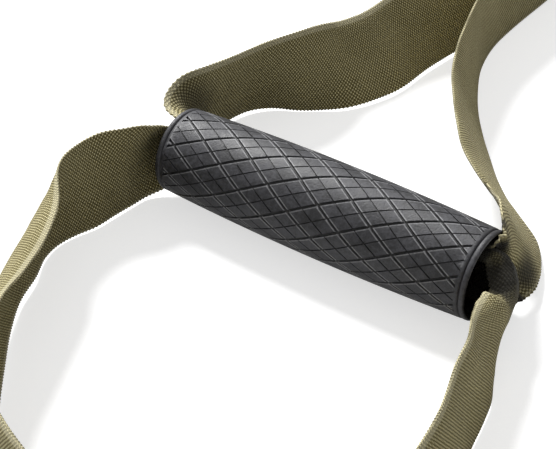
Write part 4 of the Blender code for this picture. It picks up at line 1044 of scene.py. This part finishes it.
carabiner = {"width": 0.070, "length": 0.110, "rod": 0.005, "pinShare": 0.225, "pin": 0.0014,
             "tongue": 0.0040, "gap": 0.0004, "swing": 0.0057, "gate": 0.0042, "gateStart": 0.0034,
             "slotEnd": 0.0068, "latch": (0.0056, 0.0050, 0.0032), "overrun": 0.004, "pinClear": 0.0003,
             "dome": 0.0002, "domeShare": 0.8, "bodyEdge": 0.0004, "gateEdge": 0.0003, "sharp": 35,
             "stations": [
    (0.50, 0.255), (0.50, 0.16), (0.485, 0.085), (0.43, 0.025), (0.33, 0), (0.10, 0), (-0.10, 0),
    (-0.33, 0), (-0.43, 0.025), (-0.485, 0.085), (-0.50, 0.17), (-0.50, 0.45), (-0.50, 0.76),
    (-0.475, 0.86), (-0.40, 0.94), (-0.27, 0.985),
    (0, 1), (0.27, 0.985), (0.40, 0.94), (0.475, 0.86), (0.50, 0.77), (0.50, 0.70)]}


def cubeAt(low, high):
    bm = bmesh.new()
    bmesh.ops.create_cube(bm, size=1)
    bmesh.ops.scale(bm, vec=[b - a for a, b in zip(low, high)], verts=bm.verts)
    bmesh.ops.translate(bm, vec=[(a + b) / 2 for a, b in zip(low, high)], verts=bm.verts)
    return bm


def rodAt(place, radius, depth, sides=24):
    bm = bmesh.new()
    bmesh.ops.create_cone(bm, cap_ends=True, segments=sides, radius1=radius, radius2=radius, depth=depth)
    bmesh.ops.translate(bm, vec=place, verts=bm.verts)
    return bm


def cutAway(item, shapes, operation="DIFFERENCE"):
    for index, bm in enumerate(shapes):
        tool = finishObject(f"tool{index}", bm, "steel")
        modifier = item.modifiers.new("cut", "BOOLEAN")
        modifier.operation = operation
        modifier.solver = "EXACT"
        modifier.object = tool
        bpy.context.view_layer.update()
        mesh = bpy.data.meshes.new_from_object(item.evaluated_get(bpy.context.evaluated_depsgraph_get()))
        item.modifiers.clear()
        item.data = mesh
        bpy.data.objects.remove(tool, do_unlink=True)


def breakEdges(item, edge):
    bm = bmesh.new()
    bm.from_mesh(item.data)
    bmesh.ops.remove_doubles(bm, verts=bm.verts, dist=0.000002)
    bevelEdges(bm, edge, carabiner["sharp"])
    bm.to_mesh(item.data)
    bm.free()
    item.data.shade_smooth()
    item.data.set_sharp_from_angle(angle=radians(30))


def makeCarabiner():
    c = carabiner
    across, along = c["width"] - 2 * c["rod"], c["length"] - 2 * c["rod"]
    tilt = Matrix.Rotation(-asin((eye["height"] - c["rod"]) / along), 4, "X")
    place = Matrix.Translation((0, eye["y"], eye["height"])) @ tilt
    stations = [(x * across, y * along, 0) for x, y in c["stations"]]
    route = evenly(smoothRoute(stations, 0.002), 0.0016)
    rows = [(Vector(spot), Vector((0, 0, 1)), noBends, ahead) for spot, ahead in zip(route, tangents(route))]
    circle = [(c["rod"] * cos(2 * pi * i / 28), c["rod"] * sin(2 * pi * i / 28), 0) for i in range(28)]
    body = finishObject("carabinerBody", loft(rows, circle, 1)[0], "polished")
    pinX, pinY = across / 2, c["pinShare"] * along
    shoulder, nose = pinY - c["swing"] - c["gap"], c["stations"][-1][1] * along
    wide = c["rod"] + c["overrun"]
    cuts = []
    for side in (-1, 1):
        low, high = sorted((side * c["tongue"] / 2, side * wide))
        cuts.append(cubeAt((pinX - wide, shoulder, low), (pinX + wide, pinY + 2 * wide, high)))
    latchWide, latchLong, latchThick = c["latch"]
    slotHalf = latchThick / 2 + c["gap"]
    cuts.append(cubeAt((pinX - wide, nose - c["overrun"], -slotHalf),
                       (pinX + latchWide / 2 + c["gap"], nose + latchLong + c["gap"], slotHalf)))
    cuts.append(rodAt((pinX, pinY, 0), c["pin"] + c["pinClear"], 2 * wide))
    cutAway(body, cuts)
    breakEdges(body, c["bodyEdge"])

    bottom, top = pinY - c["gateStart"], nose - c["gap"]
    steps = [(0.0, 0.80), (0.0002, 0.90), (0.0006, 0.97), (0.0012, 1.0)]
    profile = [(bottom + rise, c["gate"] * share) for rise, share in steps]
    profile += [(top - rise, c["gate"] * share) for rise, share in reversed(steps)]
    bm = spun([(bottom, 0)] + profile + [(top, 0)], 32)
    bmesh.ops.rotate(bm, cent=(0, 0, 0), matrix=Matrix.Rotation(pi / 2, 3, "Z"), verts=bm.verts)
    bmesh.ops.translate(bm, vec=(pinX, 0, 0), verts=bm.verts)
    gate = finishObject("carabinerGate", bm, "polished")
    slotCut = cubeAt((pinX - wide, bottom - c["overrun"], -c["tongue"] / 2 - c["gap"]),
                     (pinX + wide, pinY + c["slotEnd"], c["tongue"] / 2 + c["gap"]))
    cutAway(gate, [slotCut, rodAt((pinX, pinY, 0), c["pin"] + c["pinClear"], 2 * wide)])
    latch = cubeAt((pinX - latchWide / 2, top - latchLong / 2, -latchThick / 2),
                   (pinX + latchWide / 2, top + latchLong, latchThick / 2))
    cutAway(gate, [latch], "UNION")
    breakEdges(gate, c["gateEdge"])

    end, start, narrow = c["gate"] + c["dome"], c["gate"] - c["dome"], c["pin"] * c["domeShare"]
    rivet = [(-end, 0), (-end, narrow), (-start, c["pin"]), (start, c["pin"]), (end, narrow), (end, 0)]
    bm = spun(rivet, 24)
    bmesh.ops.rotate(bm, cent=(0, 0, 0), matrix=Matrix.Rotation(pi / 2, 3, "Y"), verts=bm.verts)
    bmesh.ops.translate(bm, vec=(pinX, pinY, 0), verts=bm.verts)
    pin = finishObject("gatePin", bm, "steel")
    for item, node in ((body, "carabiner_body"), (gate, "carabiner_gate"), (pin, "gate_pin")):
        item.data.transform(place)
        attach(item, bodyOfNode[node])
        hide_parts(node)


makeCarabiner()
print("carabiner made")

placeCamera()
makeStage()
scene = bpy.context.scene
scene.view_settings.view_transform = "Standard"
print("stage set")
